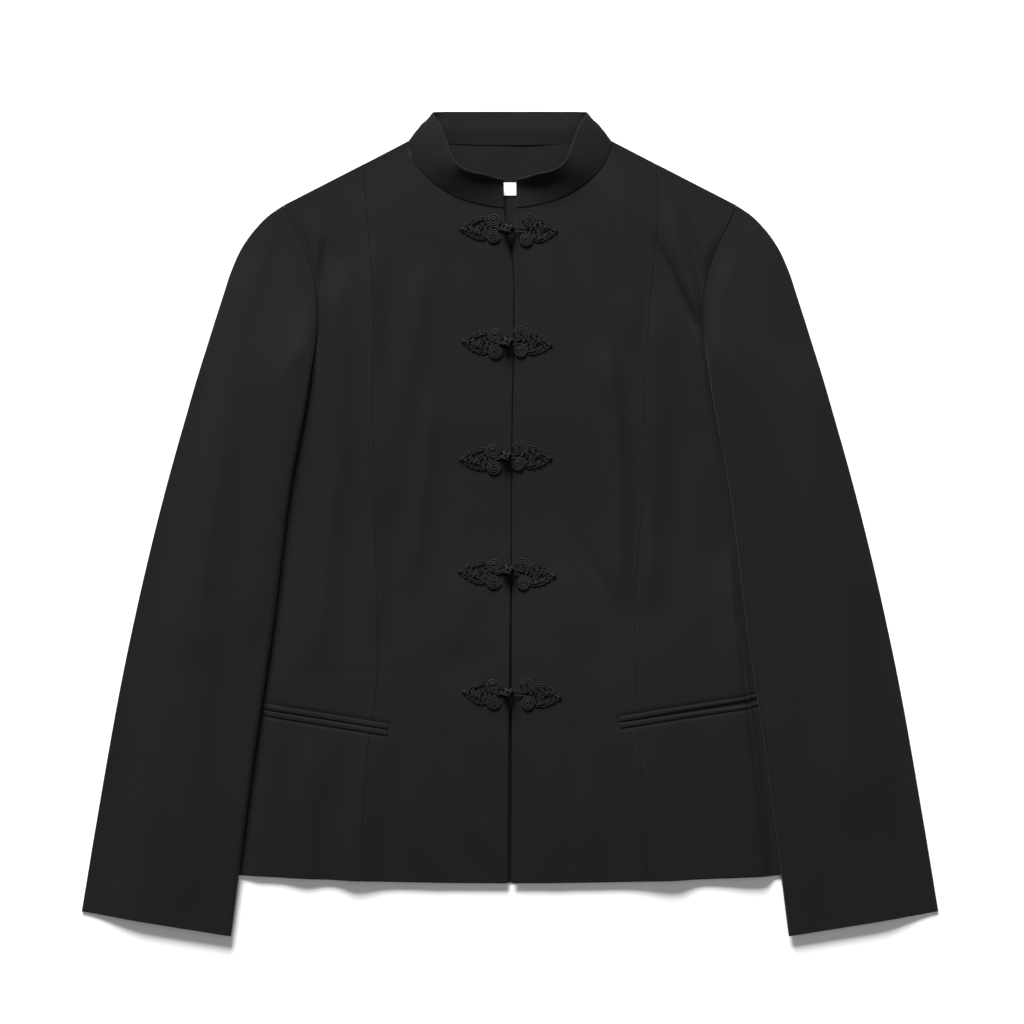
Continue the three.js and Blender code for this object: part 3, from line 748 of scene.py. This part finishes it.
# %% Back
back_edge = side_and_armhole(back_along(back_armhole))
back_shoulder = level(SHOULDER_X, NECK_HALF, shoulder_y)
u = stations([0, 0.3, 0.7, 1], [24, 32, 24], 2 * hem_corner)
v = stations([0, ARMPIT_SHARE, 1], [60, 44], 640)
shoulders_and_neck = [
    (0.3, mirror(back_shoulder)),
    (0.7, back_neck),
    (1, back_along(back_shoulder)),
]
back_plan = patch(
    level(-hem_corner, hem_corner, hem_y),
    one_after_another(shoulders_and_neck),
    mirror(back_edge),
    back_edge,
    u,
    v,
)
back = panel("back_panel", back_plan, np.zeros(back_plan.shape[:2]), SUITING, thickness=BACK_TOP)
print("back:", len(back.data.polygons), "quads")

# %% [markdown]
# ## Inside the neck
# The facing is a shield shape, narrow at the bottom and as wide as the neck at the top, with a
# faint ripple where it is only caught down at its edges. The label lies across it.

# %% Neck facing and label
FACING_HALF, FACING_BOTTOM = 70, 236
LABEL_WIDTH, LABEL_HEIGHT, LABEL_TOP, LABEL_RISE = 50, 11, 289, 1.65

u = stations([0, 1], [48], 2 * FACING_HALF)
v = stations([0, 1], [30], 88)
across, up = np.meshgrid(u, v)
facing_x = mix(-FACING_HALF, FACING_HALF, across) * mix(0.55, 1, smooth(up * 1.4))
facing_top = NECK_TOP - BACK_DIP * (1 - (facing_x / NECK_HALF) ** 2) - SEAM_GAP
facing_low = FACING_BOTTOM + 20 * (facing_x / FACING_HALF) ** 2
facing_plan = np.dstack([facing_x, mix(facing_low, facing_top, up)])
facing_rise = BACK_TOP + LAID_GAP + 0.25 * np.sin(facing_x / 9) * np.sin(up * 5)
facing = panel("neck_facing_panel", facing_plan, facing_rise, FACING, thickness=0.9)

u = stations([0, 1], [40], LABEL_WIDTH)
v = stations([0, 1], [12], LABEL_HEIGHT)
across, up = np.meshgrid(u, v)
label_plan = np.dstack(
    [mix(-LABEL_WIDTH / 2, LABEL_WIDTH / 2, across), mix(LABEL_TOP - LABEL_HEIGHT, LABEL_TOP, up)]
)
label_rise = BACK_TOP + LABEL_RISE + 0.2 * np.sin(across * math.pi) + 0.1 * np.cos(up * 6)
label = panel(
    "label_tape", label_plan, label_rise, LABEL, thickness=0.35, rolls=(0.4, 0.4, 0.25, 0.25)
)
print("facing and label:", [len(p.data.polygons) for p in (facing, label)], "quads")

# %% [markdown]
# ## The fronts
# Each front is two panels. Their edges are turned and pressed at the princess seam, so the
# seam shows as a fine groove between two rounded edges. The same rounding closes the hem, the
# front edge and the armhole. Each pocket has its place in the front, a shallow hollow in
# which its jets lie flush.

# %% Front panels
COVERED_SHARE = 0.375  # of the armhole's rows, below the point where the sleeve folds
JET_HEIGHT, JET_THICKNESS = 5.2, 1.3
RECESS, RECESS_END = 1.2, 4
RECESS_HALF = JET_HEIGHT + 1.2
POCKETS = table(
    "side front back gape",
    ("right", (-103.5, -174.8), (-213, -157.2), (0.4, 0.9)),
    ("left", (92.5, -168.6), (213, -149.6), (0.5, 3.4)),
)


def pocket_recess(x, y):
    """A flat-bottomed hollow along each pocket, for its jets: depth times e^-(d/w)^6."""
    depth = 0
    for pocket in POCKETS:
        front, back = np.array(pocket["front"]), np.array(pocket["back"])
        ahead = (back - front) / np.linalg.norm(back - front)
        along = (x - front[0]) * ahead[0] + (y - front[1]) * ahead[1]
        across = (y - front[1]) * ahead[0] - (x - front[0]) * ahead[1]
        ends = smooth((along + RECESS_END) / RECESS_END)
        depth = depth + RECESS * ends * np.exp(-((across / RECESS_HALF) ** 6))
    return depth


def front_panel(name, plan):
    x, y = plan[..., 0], plan[..., 1]
    return panel(name, plan, front_rise(x, y) - pocket_recess(x, y), SUITING)


def upright(at, last):
    """An edge that keeps to x = at(y) from the hem up to y = last."""

    def edge(t):
        y = mix(hem_y(at(np.array(HEM_Y))), last, t)
        return np.stack([at(y), y], -1)

    return edge


def front_pair(name, sign):
    """The centre and side panels of one front, on each side of the princess seam."""

    def opening(y):
        return column(FRONT_EDGE, name, y)

    def centre_side(y):
        return sign * (column(BODY, name, y) - SEAM_GAP / 2)

    def outer_side(y):
        return column(BODY, name, y) + SEAM_GAP / 2

    low = np.array(HEM_Y)
    top_y = shoulder_y(column(BODY, name, np.array(NECK_TOP)))
    v = stations([0, 0.2, 0.42, ARMPIT_SHARE, 1], [40, 84, 52, 64], 600)
    inner_shoulder = level(NECK_HALF, np.abs(centre_side(top_y)), shoulder_y, sign)
    centre_plan = patch(
        level(opening(low), centre_side(low), hem_y),
        one_after_another([(0.7, mirror(back_along(neckline), sign)), (1, inner_shoulder)]),
        upright(opening, neckline(1)[1]),
        upright(centre_side, top_y),
        stations([0, 0.7, 1], [44, 18], 120),
        v,
    )
    armhole = [(COVERED_SHARE, back_along(covered_armhole)), (1, back_along(seen_armhole))]
    side_plan = patch(
        level(outer_side(low), hem_corner, hem_y),
        level(outer_side(top_y), SHOULDER_X, shoulder_y),
        upright(outer_side, top_y),
        side_and_armhole(one_after_another(armhole)),
        stations([0, 1], [52], 110),
        v,
    )
    return (
        front_panel(f"centre_front_{name}_panel", centre_plan),
        front_panel(f"side_front_{name}_panel", side_plan * np.array([sign, 1])),
    )


fronts = {}
for name, sign in SIDES.items():
    fronts["centre", name], fronts["side", name] = front_pair(name, sign)
print("fronts:", {key: len(piece.data.polygons) for key, piece in fronts.items()})

# %% [markdown]
# ## The pockets
# A jetted pocket is a slit between two narrow folded strips, called jets or welts. Each strip
# is plump, because it is cloth folded round the seam allowances, and the slit between them
# gapes a little, more towards the side, where the body pulls it open.

# %% Pocket jets
PLUMP = 0.35
JET_ROLLS = (0.6, 0.6, 1.4, 0.9)
jets = {}
for pocket in POCKETS:
    for place, turn in {"upper": 1, "lower": -1}.items():
        u = stations([0, 1], [60], 115)
        v = stations([0, 1], [12], JET_HEIGHT)
        across, up = np.meshgrid(u, v)
        slit = mix(pocket["gape"][0], pocket["gape"][1], across)
        x = mix(pocket["front"][0], pocket["back"][0], across)
        y = mix(pocket["front"][1], pocket["back"][1], across)
        y = y + turn * mix(slit / 2, JET_HEIGHT, up)
        rise = front_rise(x, y) + CLOTH - JET_THICKNESS + PLUMP * np.sin(math.pi * up)
        name = f"pocket_{pocket['side']}_{place}_jet"
        plan = np.dstack([x, y])
        jets[name] = panel(f"{name}_strip", plan, rise, SUITING, JET_THICKNESS, JET_ROLLS)
print("jets:", list(jets))

# %% [markdown]
# ## The sleeves
# A sleeve is a tube. Laid flat it has two layers, an outer fold and an inner one, and at the
# armhole the upper layer is sewn to the front armhole that shows, and the lower layer to the
# back armhole and to the part of the front one that the sleeve hides. So both layers are
# patches with the same two folds and the same cuff, but different tops.
#
# The two layers are joined on half circles at the folds. The lower layer drapes from the
# front, where the sleeve covers it, down to the table, and long soft folds run down the upper
# layer.

# %% Sleeve surfaces
CUFF_OUTER, CUFF_INNER = (363.4, -329.4), (235.9, -349.8)
sleeve_outer = through(
    [CUFF_OUTER, (350.6, -252), (326, -116), (294.5, 20), (265.6, 122), (244.4, 190)]
    + [(235.9, 215.5), (228.2, 232.5), (216.3, 249.5), (205, 261), (192, 270)]
)
sleeve_inner = through(
    [CUFF_INNER, (219.4, -221), (200, -86), (184.5, 35), (171, 108), (164, 158)]
)
DRAPE_START, DRAPE_RUN, DRAPE_RISE = 24, 30, 50
SLEEVE_GAP = 0.8
CUFF_ROLL, ARMHOLE_ROLL = 0.9, 0.8
SLEEVE_AIR = {"right": 5.8, "left": 4.2}

SLEEVE_FOLDS = {
    "right": table(
        FOLD_COLUMNS,
        (1.8, 10, 20, 50, [(179, 190), (184, 108), (198, 20), (216, -100)]),
        (3.2, 13, 22, 50, [(216, 226), (238, 140), (252, 20), (268, -120)]),
        (2.2, 12, 16, 50, [(250, -70), (268, -200), (278, -340)]),
        (1.2, 8, 12, 50, [(196, 262), (206, 240), (214, 200)]),
        (-2.0, 10, 10, 50, [(326, -180), (340, -330)]),
    ),
    "left": table(
        FOLD_COLUMNS,
        (2.4, 11, 13, 50, [(180, 236), (190, 120), (212, -40), (236, -200)]),
        (3.2, 17, 17, 50, [(250, 150), (262, 20), (278, -80), (292, -260)]),
        (1.4, 12, 16, 50, [(198, 262), (212, 226), (226, 170)]),
        (1.8, 12, 13, 50, [(224, -150), (246, -240), (258, -345)]),
        (-2.0, 12, 12, 50, [(304, -60), (324, -180), (338, -300)]),
    ),
}


def beyond_front(far, y):
    """Distance past the edge of a front that a sleeve covers: side seam and low armhole."""
    spots = covered_armhole(np.linspace(0, 1, 40))
    order = np.argsort(spots[:, 1])
    armhole_x = np.interp(y, spots[order, 1], spots[order, 0])
    edge = np.where(y < ARMPIT_Y, side_seam_x(y), armhole_x)
    to_armhole = np.hypot(far[..., None] - spots[:, 0], y[..., None] - spots[:, 1]).min(axis=-1)
    to_side = np.hypot(far - side_seam_x(y), np.maximum(y - ARMPIT_Y, 0))
    return np.where(far < edge, 0, np.minimum(to_armhole, to_side))


def sleeve_rise(x, y):
    """Height of a sleeve's lower layer: on the front that it covers, then draped to the table."""
    draped = 1 - smooth((beyond_front(np.abs(x), y) - DRAPE_START) / DRAPE_RUN)
    below_notch = 1 - smooth((y - NOTCH_Y) / DRAPE_RISE)
    return draped * below_notch * (front_rise(x, y) + CLOTH + SLEEVE_GAP)


def inset_row(plan, inset):
    """Draws the points of each row in from its two ends by an inset in mm."""
    from_start = edge_distance(plan)[0]
    width = from_start[:, -1:]
    wanted = inset + from_start * (1 - 2 * inset / width)
    share = np.stack([np.interp(w, f, np.arange(len(f))) for w, f in zip(wanted, from_start)])
    base = np.clip(np.floor(share).astype(int), 0, plan.shape[1] - 2)
    part = (share - base)[..., None]
    row = np.arange(plan.shape[0])[:, None]
    return plan[row, base] * (1 - part) + plan[row, base + 1] * part


def cuff(t):
    return mix(np.array(CUFF_OUTER), np.array(CUFF_INNER), np.asarray(t)[:, None])


def sleeve_skin(plans, inset, air, rising, sign, folds):
    """One skin, as a ring of points for each row: over the upper layer from the outer fold to
    the inner one, and back under the lower layer."""
    upper, lower = (inset_row(plan, inset) for plan in plans)
    radius = (2 * CLOTH + air - 2 * inset) / 2
    from_outer, from_inner, from_cuff, from_armhole = edge_distance(upper)
    ends = np.minimum(quarter_round(from_outer, radius[:, :1]), quarter_round(from_inner, radius[:, -1:]))
    low_rise = sleeve_rise(sign * lower[..., 0], lower[..., 1])
    folded = sum(fold_height(fold, upper[..., 0], upper[..., 1]) for fold in folds)
    keep = quarter_round(np.minimum(from_outer, from_inner), 9) * smooth(from_armhole / 24)
    keep = keep * mix(0.5, 1, smooth(from_cuff / 60))
    top_z = low_rise[:, -1:] * rising + inset + radius + radius * ends + folded * keep
    low_z = low_rise + inset + radius * (1 - ends)
    rolled = 2 - quarter_round(from_cuff[:, :1], CUFF_ROLL) - quarter_round(from_armhole[:, :1], ARMHOLE_ROLL)
    rolled = rolled * (CLOTH / 2 - 0.06) * (-1 if inset == 0 else 1)
    ring_xy = np.concatenate([upper[:, :-1], lower[:, :0:-1]], axis=1)
    ring_z = np.concatenate([top_z[:, :-1] + rolled, low_z[:, :0:-1] - rolled], axis=1)
    return np.dstack([ring_xy * np.array([sign, 1]), ring_z])


def sleeve(name, sign):
    """A sleeve of two skins. Its air goes to nothing at the armhole, and its upper layer rises
    across from the outer fold to the height of the front under the inner one."""
    u = stations([0, 1], [58], 130)
    v = stations([0, 0.86, 1], [104, 46], 600)
    lower_top = one_after_another([(0.65, back_armhole), (1, back_along(covered_armhole))])
    plans = [patch(cuff, top, sleeve_outer, sleeve_inner, u, v) for top in (seen_armhole, lower_top)]
    plans = [plan + np.array([0.3, 0]) for plan in plans]
    from_top = (1 - v)[:, None] * mix(5, 16, smooth((u - 0.55) / 0.4))[None]
    filled = smooth(from_top) * mix(0.6, 1, smooth(v * 4))[:, None]
    air = 0.3 + SLEEVE_AIR[name] * filled * smooth(np.minimum(u * 2.6, 1))[None]
    rising = smooth(mix(2.2, 1.0, smooth((v - 0.7) / 0.3))[:, None] * u[None])
    folds = SLEEVE_FOLDS[name]
    outside, inside = (sleeve_skin(plans, inset, air, rising, sign, folds) for inset in (0, CLOTH))
    ring = np.concatenate([outside, outside[:, :1]], axis=1)
    around = np.pad(np.cumsum(np.linalg.norm(np.diff(ring, axis=1), axis=2), 1), ((0, 0), (1, 0)))
    long = np.broadcast_to(v[:, None] * sleeve_outer.length, around.shape)
    return shell(f"sleeve_{name}_tube", outside, inside, np.dstack([around, long]), SUITING, around=True)


sleeves = {name: sleeve(name, sign) for name, sign in SIDES.items()}
print("sleeves:", {name: len(piece.data.polygons) for name, piece in sleeves.items()})

# %% [markdown]
# ## The stand collar
# The collar is one straight band, 28 mm high, sewn round the neckline. Laid flat it folds over
# at each shoulder: its back half lies flat beyond the neckline, and its front half comes
# forward, stands up at the sides of the throat and falls back towards the opening at the
# centre front.
#
# Each station of the band has three points across it: its seam, a bend, and its top edge. A
# smooth curve runs through each row of them, and the band is drawn between, straight from the
# seam to the bend and from the bend to the top, with a small round at the bend itself.

# %% Stand collar
BAND = 2.0
COLLAR = table(
    "seam bend top",
    ((0, 320.4, 1.9), (0, 334, 3.6), (0, 349.4, 2.6)),
    ((30, 320.8, 1.9), (27, 334, 3.6), (24, 349.4, 2.6)),
    ((58, 322.4, 2.0), (52, 334.5, 3.8), (46, 349.3, 3.0)),
    ((76, 325.0, 2.7), (68, 336.5, 4.2), (59.5, 349.0, 4.2)),
    ((85.4, 324.4, 4.0), (75.6, 337, 6.2), (64.4, 348.2, 7.2)),
    ((84.6, 316.6, 4.6), (72.5, 327, 8.6), (59.6, 338.6, 12.0)),
    ((79.4, 304.8, 5.0), (67, 313, 10.4), (53.0, 322.6, 15.4)),
    ((70.4, 293.8, 5.2), (60, 300.6, 12.0), (48.6, 309.8, 18.0)),
    ((58.4, 284.2, 5.4), (51.2, 293.0, 12.2), (43.0, 302.2, 19.2)),
    ((44.2, 276.2, 5.4), (38.4, 288.8, 9.6), (34.0, 297.6, 18.8)),
    ((27.6, 270.8, 5.4), (25.0, 286.8, 7.2), (22.4, 295.2, 17.6)),
    ((14.0, 268.2, 5.4), (13.6, 285.6, 6.8), (13.2, 292.8, 14.0)),
    ((5.2, 267.2, 5.4), (5.3, 284.0, 6.6), (5.2, 291.4, 11.2)),
)
BEND_ROUND = 0.10


def soft_ramp(x):
    """0 below 0 and x above it, with a rounded corner."""
    return 0.5 * (x + np.sqrt(x * x + BEND_ROUND**2))


def collar_line(edge):
    """One of the three curves, from the left front round the back to the right front."""
    half = [row[edge] for row in COLLAR]
    return through(half[::-1] + [(-x, y, z) for x, y, z in half[1:]])


def bent_band(seam, bend, top, share):
    """Points across the band at shares of its height: straight from the seam to the bend and
    on to the top, with a small round at the bend."""
    lower = np.linalg.norm(bend - seam, axis=2, keepdims=True)
    upper = np.linalg.norm(top - bend, axis=2, keepdims=True)
    at = lower / (lower + upper)
    start, end = soft_ramp(-at), soft_ramp(1 - at)
    past = (soft_ramp(share - at) - start) / (end - start) * (1 - at)
    return seam + (bend - seam) * (share - past) / at + (top - bend) * past / (1 - at)


def collar():
    """The band between its three curves, half its thickness to each side. On the front its
    seam lies on the cloth, and on the right its bend is higher up."""
    t = stations([0, 1], [250], 520)
    share = stations([0, 1], [26], 28)[:, None, None]
    seam, bend, top = (collar_line(edge)(t)[None] for edge in ("seam", "bend", "top"))
    high_bend = mix(bend, top, 0.3)
    bend = np.where(bend[..., :1] < 0, mix(bend, high_bend, smooth((325 - bend[..., 1:2]) / 20)), bend)
    seam_z = front_rise(seam[..., 0], seam[..., 1]) + 0.75 * CLOTH
    seam[..., 2] = mix(seam[..., 2], seam_z, smooth((322 - seam[..., 1]) / 6))
    middle = bent_band(seam, bend, top, share)
    out = np.cross(np.gradient(middle, axis=1), np.gradient(middle, axis=0))
    out = out / np.linalg.norm(out, axis=2, keepdims=True)
    from_start, from_end, from_seam, from_top = edge_distance(middle)
    closing = quarter_round(from_start, 1.0) * quarter_round(from_end, 1.0)
    closing = closing * quarter_round(from_seam, 0.7) * quarter_round(from_top, 1.0)
    half = np.maximum(closing, 0.06)[..., None] * BAND / 2
    uv = np.dstack([from_start, from_seam])
    return shell("collar_band", middle + out * half, middle - out * half, uv, SUITING)


collar_band = collar()
print("collar:", len(collar_band.data.polygons), "quads")

# %% [markdown]
# ## The frogs
# A frog is made of one long silk cord. Each half starts in the middle of a coil, winds out of
# it, loops and crosses through an openwork leaf and winds into the second coil. One half ends
# in a ball, which is a knot of the same cord, and the other half in a loop that goes over it.
#
# Every stretch is a tube along a path. The coils are flat spirals, the leaf is an outline with
# scallops and a braid of three waves inside it, and the ball is a path that climbs and falls
# as it goes round a sphere.

# %% Cord paths
CORD_RADIUS = 0.62
COIL_CORD, LEAF_CORD, ARM_CORD = 0.85, 0.92 * CORD_RADIUS, 1.1 * CORD_RADIUS
BALL_CORD, CORE_CORD = 0.95, 1.5
CORD_STEP = 0.6
LEAF_HALF, LEAF_SHIFT = 9.0, 1.5
FROGS = table(
    "knot tips reach coils",
    ((-1.7, 248.8), (249.4, 247.8), (-41.7, 39.4),
     [(-14.0, 256.6), (-14.2, 243.6), (17.0, 256.0), (14.0, 240.0)]),
    ((-2.6, 153.0), (154.3, 150.9), (-40.2, 35.0),
     [(-12.6, 159.4), (-12.6, 145.4), (9.0, 160.8), (9.2, 146.0)]),
    ((-3.6, 56.6), (54.4, 54.8), (-42.0, 35.0),
     [(-14.8, 61.6), (-13.8, 47.4), (8.0, 63.4), (7.0, 49.8)]),
    ((-1.7, -39.9), (-40.4, -44.6), (-43.4, 38.2),
     [(-13.4, -35.6), (-14.0, -49.6), (11.2, -35.6), (11.6, -51.0)]),
    ((-2.1, -143.2), (-142.4, -147.5), (-39.6, 42.8),
     [(-14.8, -137.4), (-14.0, -151.2), (14.6, -137.6), (15.2, -152.6)]),
)
COIL_RADIUS = 6.7
BALL_RADIUS = 5.0


def tube(path, radius, up=None, sides=8):
    """A round cord along a path: a circle at each point, in the plane across the path. Its
    frame is the path's direction, a sideways vector and the rest of the up vector."""
    path = np.asarray(path, float)
    along = np.gradient(path, axis=0)
    along /= np.linalg.norm(along, axis=1, keepdims=True)
    up = np.broadcast_to((0.0, 0.0, 1.0), path.shape) if up is None else up
    sideways = np.cross(along, up)
    sideways /= np.linalg.norm(sideways, axis=1, keepdims=True)
    lifted = np.cross(sideways, along)
    angle = np.linspace(0, 2 * math.pi, sides, endpoint=False)[None, :, None]
    thick = np.full(len(path), radius)
    thick[[0, -1]] = 0.15 * radius
    ring = np.cos(angle) * sideways[:, None] + np.sin(angle) * lifted[:, None]
    return path[:, None] + ring * thick[:, None, None]


def spaced(path, step):
    """The same path with points a step apart."""
    length = np.r_[0, np.cumsum(np.linalg.norm(np.diff(path, axis=0), axis=1))]
    at = np.linspace(0, length[-1], max(6, int(length[-1] / step)))
    return np.stack([np.interp(at, length, path[:, k]) for k in range(3)], -1)


def coil_path(centre, turn, start):
    """A flat spiral from the middle out: the radius grows evenly with the angle, and it is
    domed, highest in the middle."""
    share = np.linspace(0.06, 1, 220)
    angle = start + turn * share * 3.5 * 2 * math.pi
    radius = (COIL_RADIUS - CORD_RADIUS) * share
    x = centre[0] + radius * np.cos(angle)
    y = centre[1] + radius * np.sin(angle)
    return np.stack([x, y, 0.9 + 1.0 * (1 - share**2)], -1)


def leaf_paths(base, tip, half):
    """The leaf of a frog between two points: a double outline, and three waves that cross."""
    base, tip = np.array(base), np.array(tip)
    axis = tip - base
    side = np.array([-axis[1], axis[0]]) / np.linalg.norm(axis)

    def place(share, off, z):
        spot = base + share[:, None] * axis + off[:, None] * side
        return np.column_stack([spot, z])

    def width(share):
        """Half width: it swells fast, is widest at a third, and runs out to the tip."""
        return half * np.sin(math.pi * np.clip(share, 0, 1) ** 0.62) ** 0.8

    t = np.linspace(0.0, 1, 150)
    paths = []
    for turn in (1, -1):
        scallop = 0.55 * np.abs(np.sin(math.pi * t * 5.5))
        paths.append(place(t, turn * (width(t) + scallop), 0.7 + 0.25 * np.cos(t * 40)))
        paths.append(place(t, turn * (width(t) - 1.25), 0.95 + 0.3 * np.sin(t * 34)))
    for k in range(3):
        phase = 2 * math.pi * (2.2 * t + k / 3)
        sway = np.clip(t + 0.085 * np.sin(2 * phase + 0.9 * k) * np.sin(math.pi * t), 0, 1)
        paths.append(place(sway, (width(t) - 1.6) * np.sin(phase), 1.1 + 0.7 * np.sin(3 * phase)))
    small = np.linspace(0, 2 * math.pi, 40)
    end = tip - axis / np.linalg.norm(axis) * 0.4
    ring = np.stack([end[0] + 1.3 * np.cos(small), end[1] + 1.0 * np.sin(small), 0.8 + 0 * small], -1)
    return paths + [ring]


def ball_path():
    """A knotted ball: the path goes three times round while it climbs and falls four times."""
    s = np.linspace(0, 2 * math.pi, 420)
    round_angle = 3 * s
    climb = 1.15 * np.sin(4 * s)
    radius = BALL_RADIUS - 0.9 + 0.35 * np.cos(8 * s)
    flat = radius * np.cos(climb)
    return np.stack([flat * np.cos(round_angle), flat * np.sin(round_angle), radius * np.sin(climb)], -1)


spiral = coil_path((0, 0), 1, 0)
print("cord in one coil:", round(np.linalg.norm(np.diff(spiral, axis=0), axis=1).sum()), "mm")


# %% [markdown]
# ## Silk cord
# The cord is spun from bright yarn, so it is blacker than the suiting but has a soft gloss,
# and its twist catches the light in short slanting glints, which are painted into its colour as
# painted highlights. The twist is a wave over the tube's own UVs, which run along the cord and
# round it, and it also sets the cord's roughness and bump.

# %% Cord material
CORD_COLOUR = (0.0022, 0.0021, 0.0021)
TWIST_PITCH = 1.1 * MM


def cord_material():
    material = bpy.data.materials.new("frog_cord")
    material.use_nodes = True
    n = Nodes(material.node_tree)
    shader = material.node_tree.nodes["Principled BSDF"]
    shader.inputs["Specular IOR Level"].default_value = 0.25
    grain = n.add("ShaderNodeUVMap", uv_map="grain")
    split = n.add("ShaderNodeSeparateXYZ")
    n.join(grain.outputs["UV"], split.inputs[0])
    along = n.calc("MULTIPLY", split.outputs["X"], 2 * math.pi / TWIST_PITCH)
    around = n.calc("MULTIPLY", split.outputs["Y"], 2 * math.pi * 2 / MM)
    twist_and_glint = n.calc("ABSOLUTE", n.calc("SINE", n.calc("ADD", along, around)))
    # painted highlights: the twist wave lightens the colour in short slanting glints
    n.tone(shader, CORD_COLOUR, n.calc("ADD", 0.55, n.calc("MULTIPLY", twist_and_glint, 0.6)))
    n.join(n.calc("SUBTRACT", 0.62, n.calc("MULTIPLY", twist_and_glint, 0.14)), shader.inputs["Roughness"])
    n.bump(shader, twist_and_glint, 0.8, 0.15 * MM)
    return material


CORD = cord_material()
print("cord material:", CORD.name)

# %% [markdown]
# ## Putting a frog together
# A half is a list of tubes: each is a path, a radius and, for the ball, which way is up along
# it. The leaf sits against its two coils, and either two stems with the ball or one loop run
# from there to the knot in the middle.

# %% Frogs


def cord_grid(ring, start):
    """Faces and UVs of a tube: along the cord in mm, and one turn round it as 0 to 1."""
    rows, columns = ring.shape[:2]
    faces, spots = side_faces(rows, columns, True)
    long = np.r_[0, np.cumsum(np.linalg.norm(np.diff(ring[:, 0], axis=0), axis=1))]
    uv = np.dstack(
        [
            np.broadcast_to(long[:, None], (rows, columns + 1)),
            np.broadcast_to(np.linspace(0, 1, columns + 1)[None], (rows, columns + 1)),
        ]
    )
    last = (rows - 1) * columns
    k = np.arange(0, columns - 2, 2)
    low_cap = np.stack([np.zeros_like(k), k + 3, k + 2, k + 1], -1) % columns
    caps = [low_cap, low_cap[:, ::-1] + last]
    cap_uv = np.zeros((2 * len(k), 4, 2))
    all_faces = np.concatenate([faces, *caps]) + start
    return all_faces, np.concatenate([uv.reshape(-1, 2)[spots], cap_uv])


def frog_half(name, paths):
    """Joins a half's tubes into one mesh, laid on the cloth: each point is lifted by the rise
    of the front beneath it."""
    vertices, faces, uvs, start = [], [], [], 0
    for path, radius, up in paths:
        ring = tube(path, radius, up)
        these, uv = cord_grid(ring, start)
        faces.append(these)
        uvs.append(uv)
        vertices.append(ring.reshape(-1, 3))
        start += ring.shape[0] * ring.shape[1]
    spots = np.concatenate(vertices)
    spots[:, 2] += front_rise(spots[:, 0], spots[:, 1]) + CLOTH + 0.1
    return make_piece(name, spots, np.concatenate(faces), np.concatenate(uvs), CORD)


def ball_tubes(knot):
    """The knotted ball, with a thick spiral of cord inside that fills it."""
    place = np.array([knot[0], knot[1], BALL_RADIUS + 0.8])
    ball = ball_path()
    outward = ball / np.linalg.norm(ball, axis=1, keepdims=True)
    climb = np.linspace(-1.45, 1.45, 60)
    flat = 2.4 * np.cos(climb)
    core = np.stack([flat * np.cos(climb * 9), flat * np.sin(climb * 9), 2.6 * np.sin(climb)], -1)
    return [(ball + place, BALL_CORD, outward), (core + place, CORE_CORD, None)]


def stem_tubes(middle, knot):
    """Two cords side by side, from between the coils to under the ball."""
    stems = []
    for off in (-0.75, 0.75):
        stem = through([
            (middle[0], middle[1] + off * 1.5, 1.4),
            ((middle[0] + knot[0]) / 2, (middle[1] + knot[1]) / 2 + off, 1.5),
            (knot[0], knot[1] + off, 1.6),
        ])
        stems.append((stem(np.linspace(0, 1, 24)), ARM_CORD, None))
    return stems


def loop_tubes(middle, knot):
    """One cord from between the coils, round the foot of the ball and back."""
    bend_x, bend_y = (middle[0] + knot[0]) / 2 + 1, mix(middle[1], knot[1], 0.6)
    loop = through([
        (middle[0], middle[1] + 1.6, 1.2),
        (bend_x, bend_y + 1.7, 2.0),
        (knot[0] + 1.2, knot[1] + 2.0, 2.6),
        (knot[0] - 2.0, knot[1], 2.8),
        (knot[0] + 1.2, knot[1] - 2.0, 2.6),
        (bend_x, bend_y - 1.7, 2.0),
        (middle[0], middle[1] - 1.6, 1.2),
    ])
    return [(loop(np.linspace(0, 1, 70)), ARM_CORD, None)]


frogs = {}
for number, frog in enumerate(FROGS, start=1):
    for k, (half_name, turn) in enumerate((("button", -1), ("loop", 1))):
        coils = frog["coils"][2 * k : 2 * k + 2]
        middle = np.mean(coils, axis=0)
        spirals = coil_path(coils[0], turn, 0), coil_path(coils[1], -turn, math.pi)
        paths = [(spaced(path, CORD_STEP), COIL_CORD, None) for path in spirals]
        base, tip = middle + np.array([turn * LEAF_SHIFT, 0]), (frog["reach"][k], frog["tips"][k])
        for path in leaf_paths(base, tip, LEAF_HALF):
            paths.append((spaced(path, CORD_STEP), LEAF_CORD, None))
        if half_name == "button":
            paths += ball_tubes(frog["knot"]) + stem_tubes(middle, frog["knot"])
        else:
            paths += loop_tubes(middle, frog["knot"])
        frogs[number, half_name] = frog_half(f"frog_{number}_{half_name}_cord", paths)
print("frogs:", {key: len(piece.data.polygons) for key, piece in frogs.items()})

# %% [markdown]
# ## What rides on what
# Nothing on a jacket moves as a rigid part, so every piece rides on the one body, `root`, and
# stands for the plain solid of the same name.

# %% Attach each piece to the body in place of its part


def settle(piece, node):
    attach(piece, "root")
    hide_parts(node)


settle(back, "back")
settle(facing, "neck_facing")
settle(label, "label")
settle(collar_band, "collar")
for name in SIDES:
    centre_front, side_front = fronts["centre", name], fronts["side", name]
    settle(centre_front, f"centre_front_{name}")
    settle(side_front, f"side_front_{name}")
    settle(sleeves[name], f"sleeve_{name}")
for name, jet in jets.items():
    settle(jet, name)
for (number, half_name), piece in frogs.items():
    settle(piece, f"frog_{number}_{half_name}_half")
print("pieces settled:", 4 + len(fronts) + len(sleeves) + len(jets) + len(frogs))
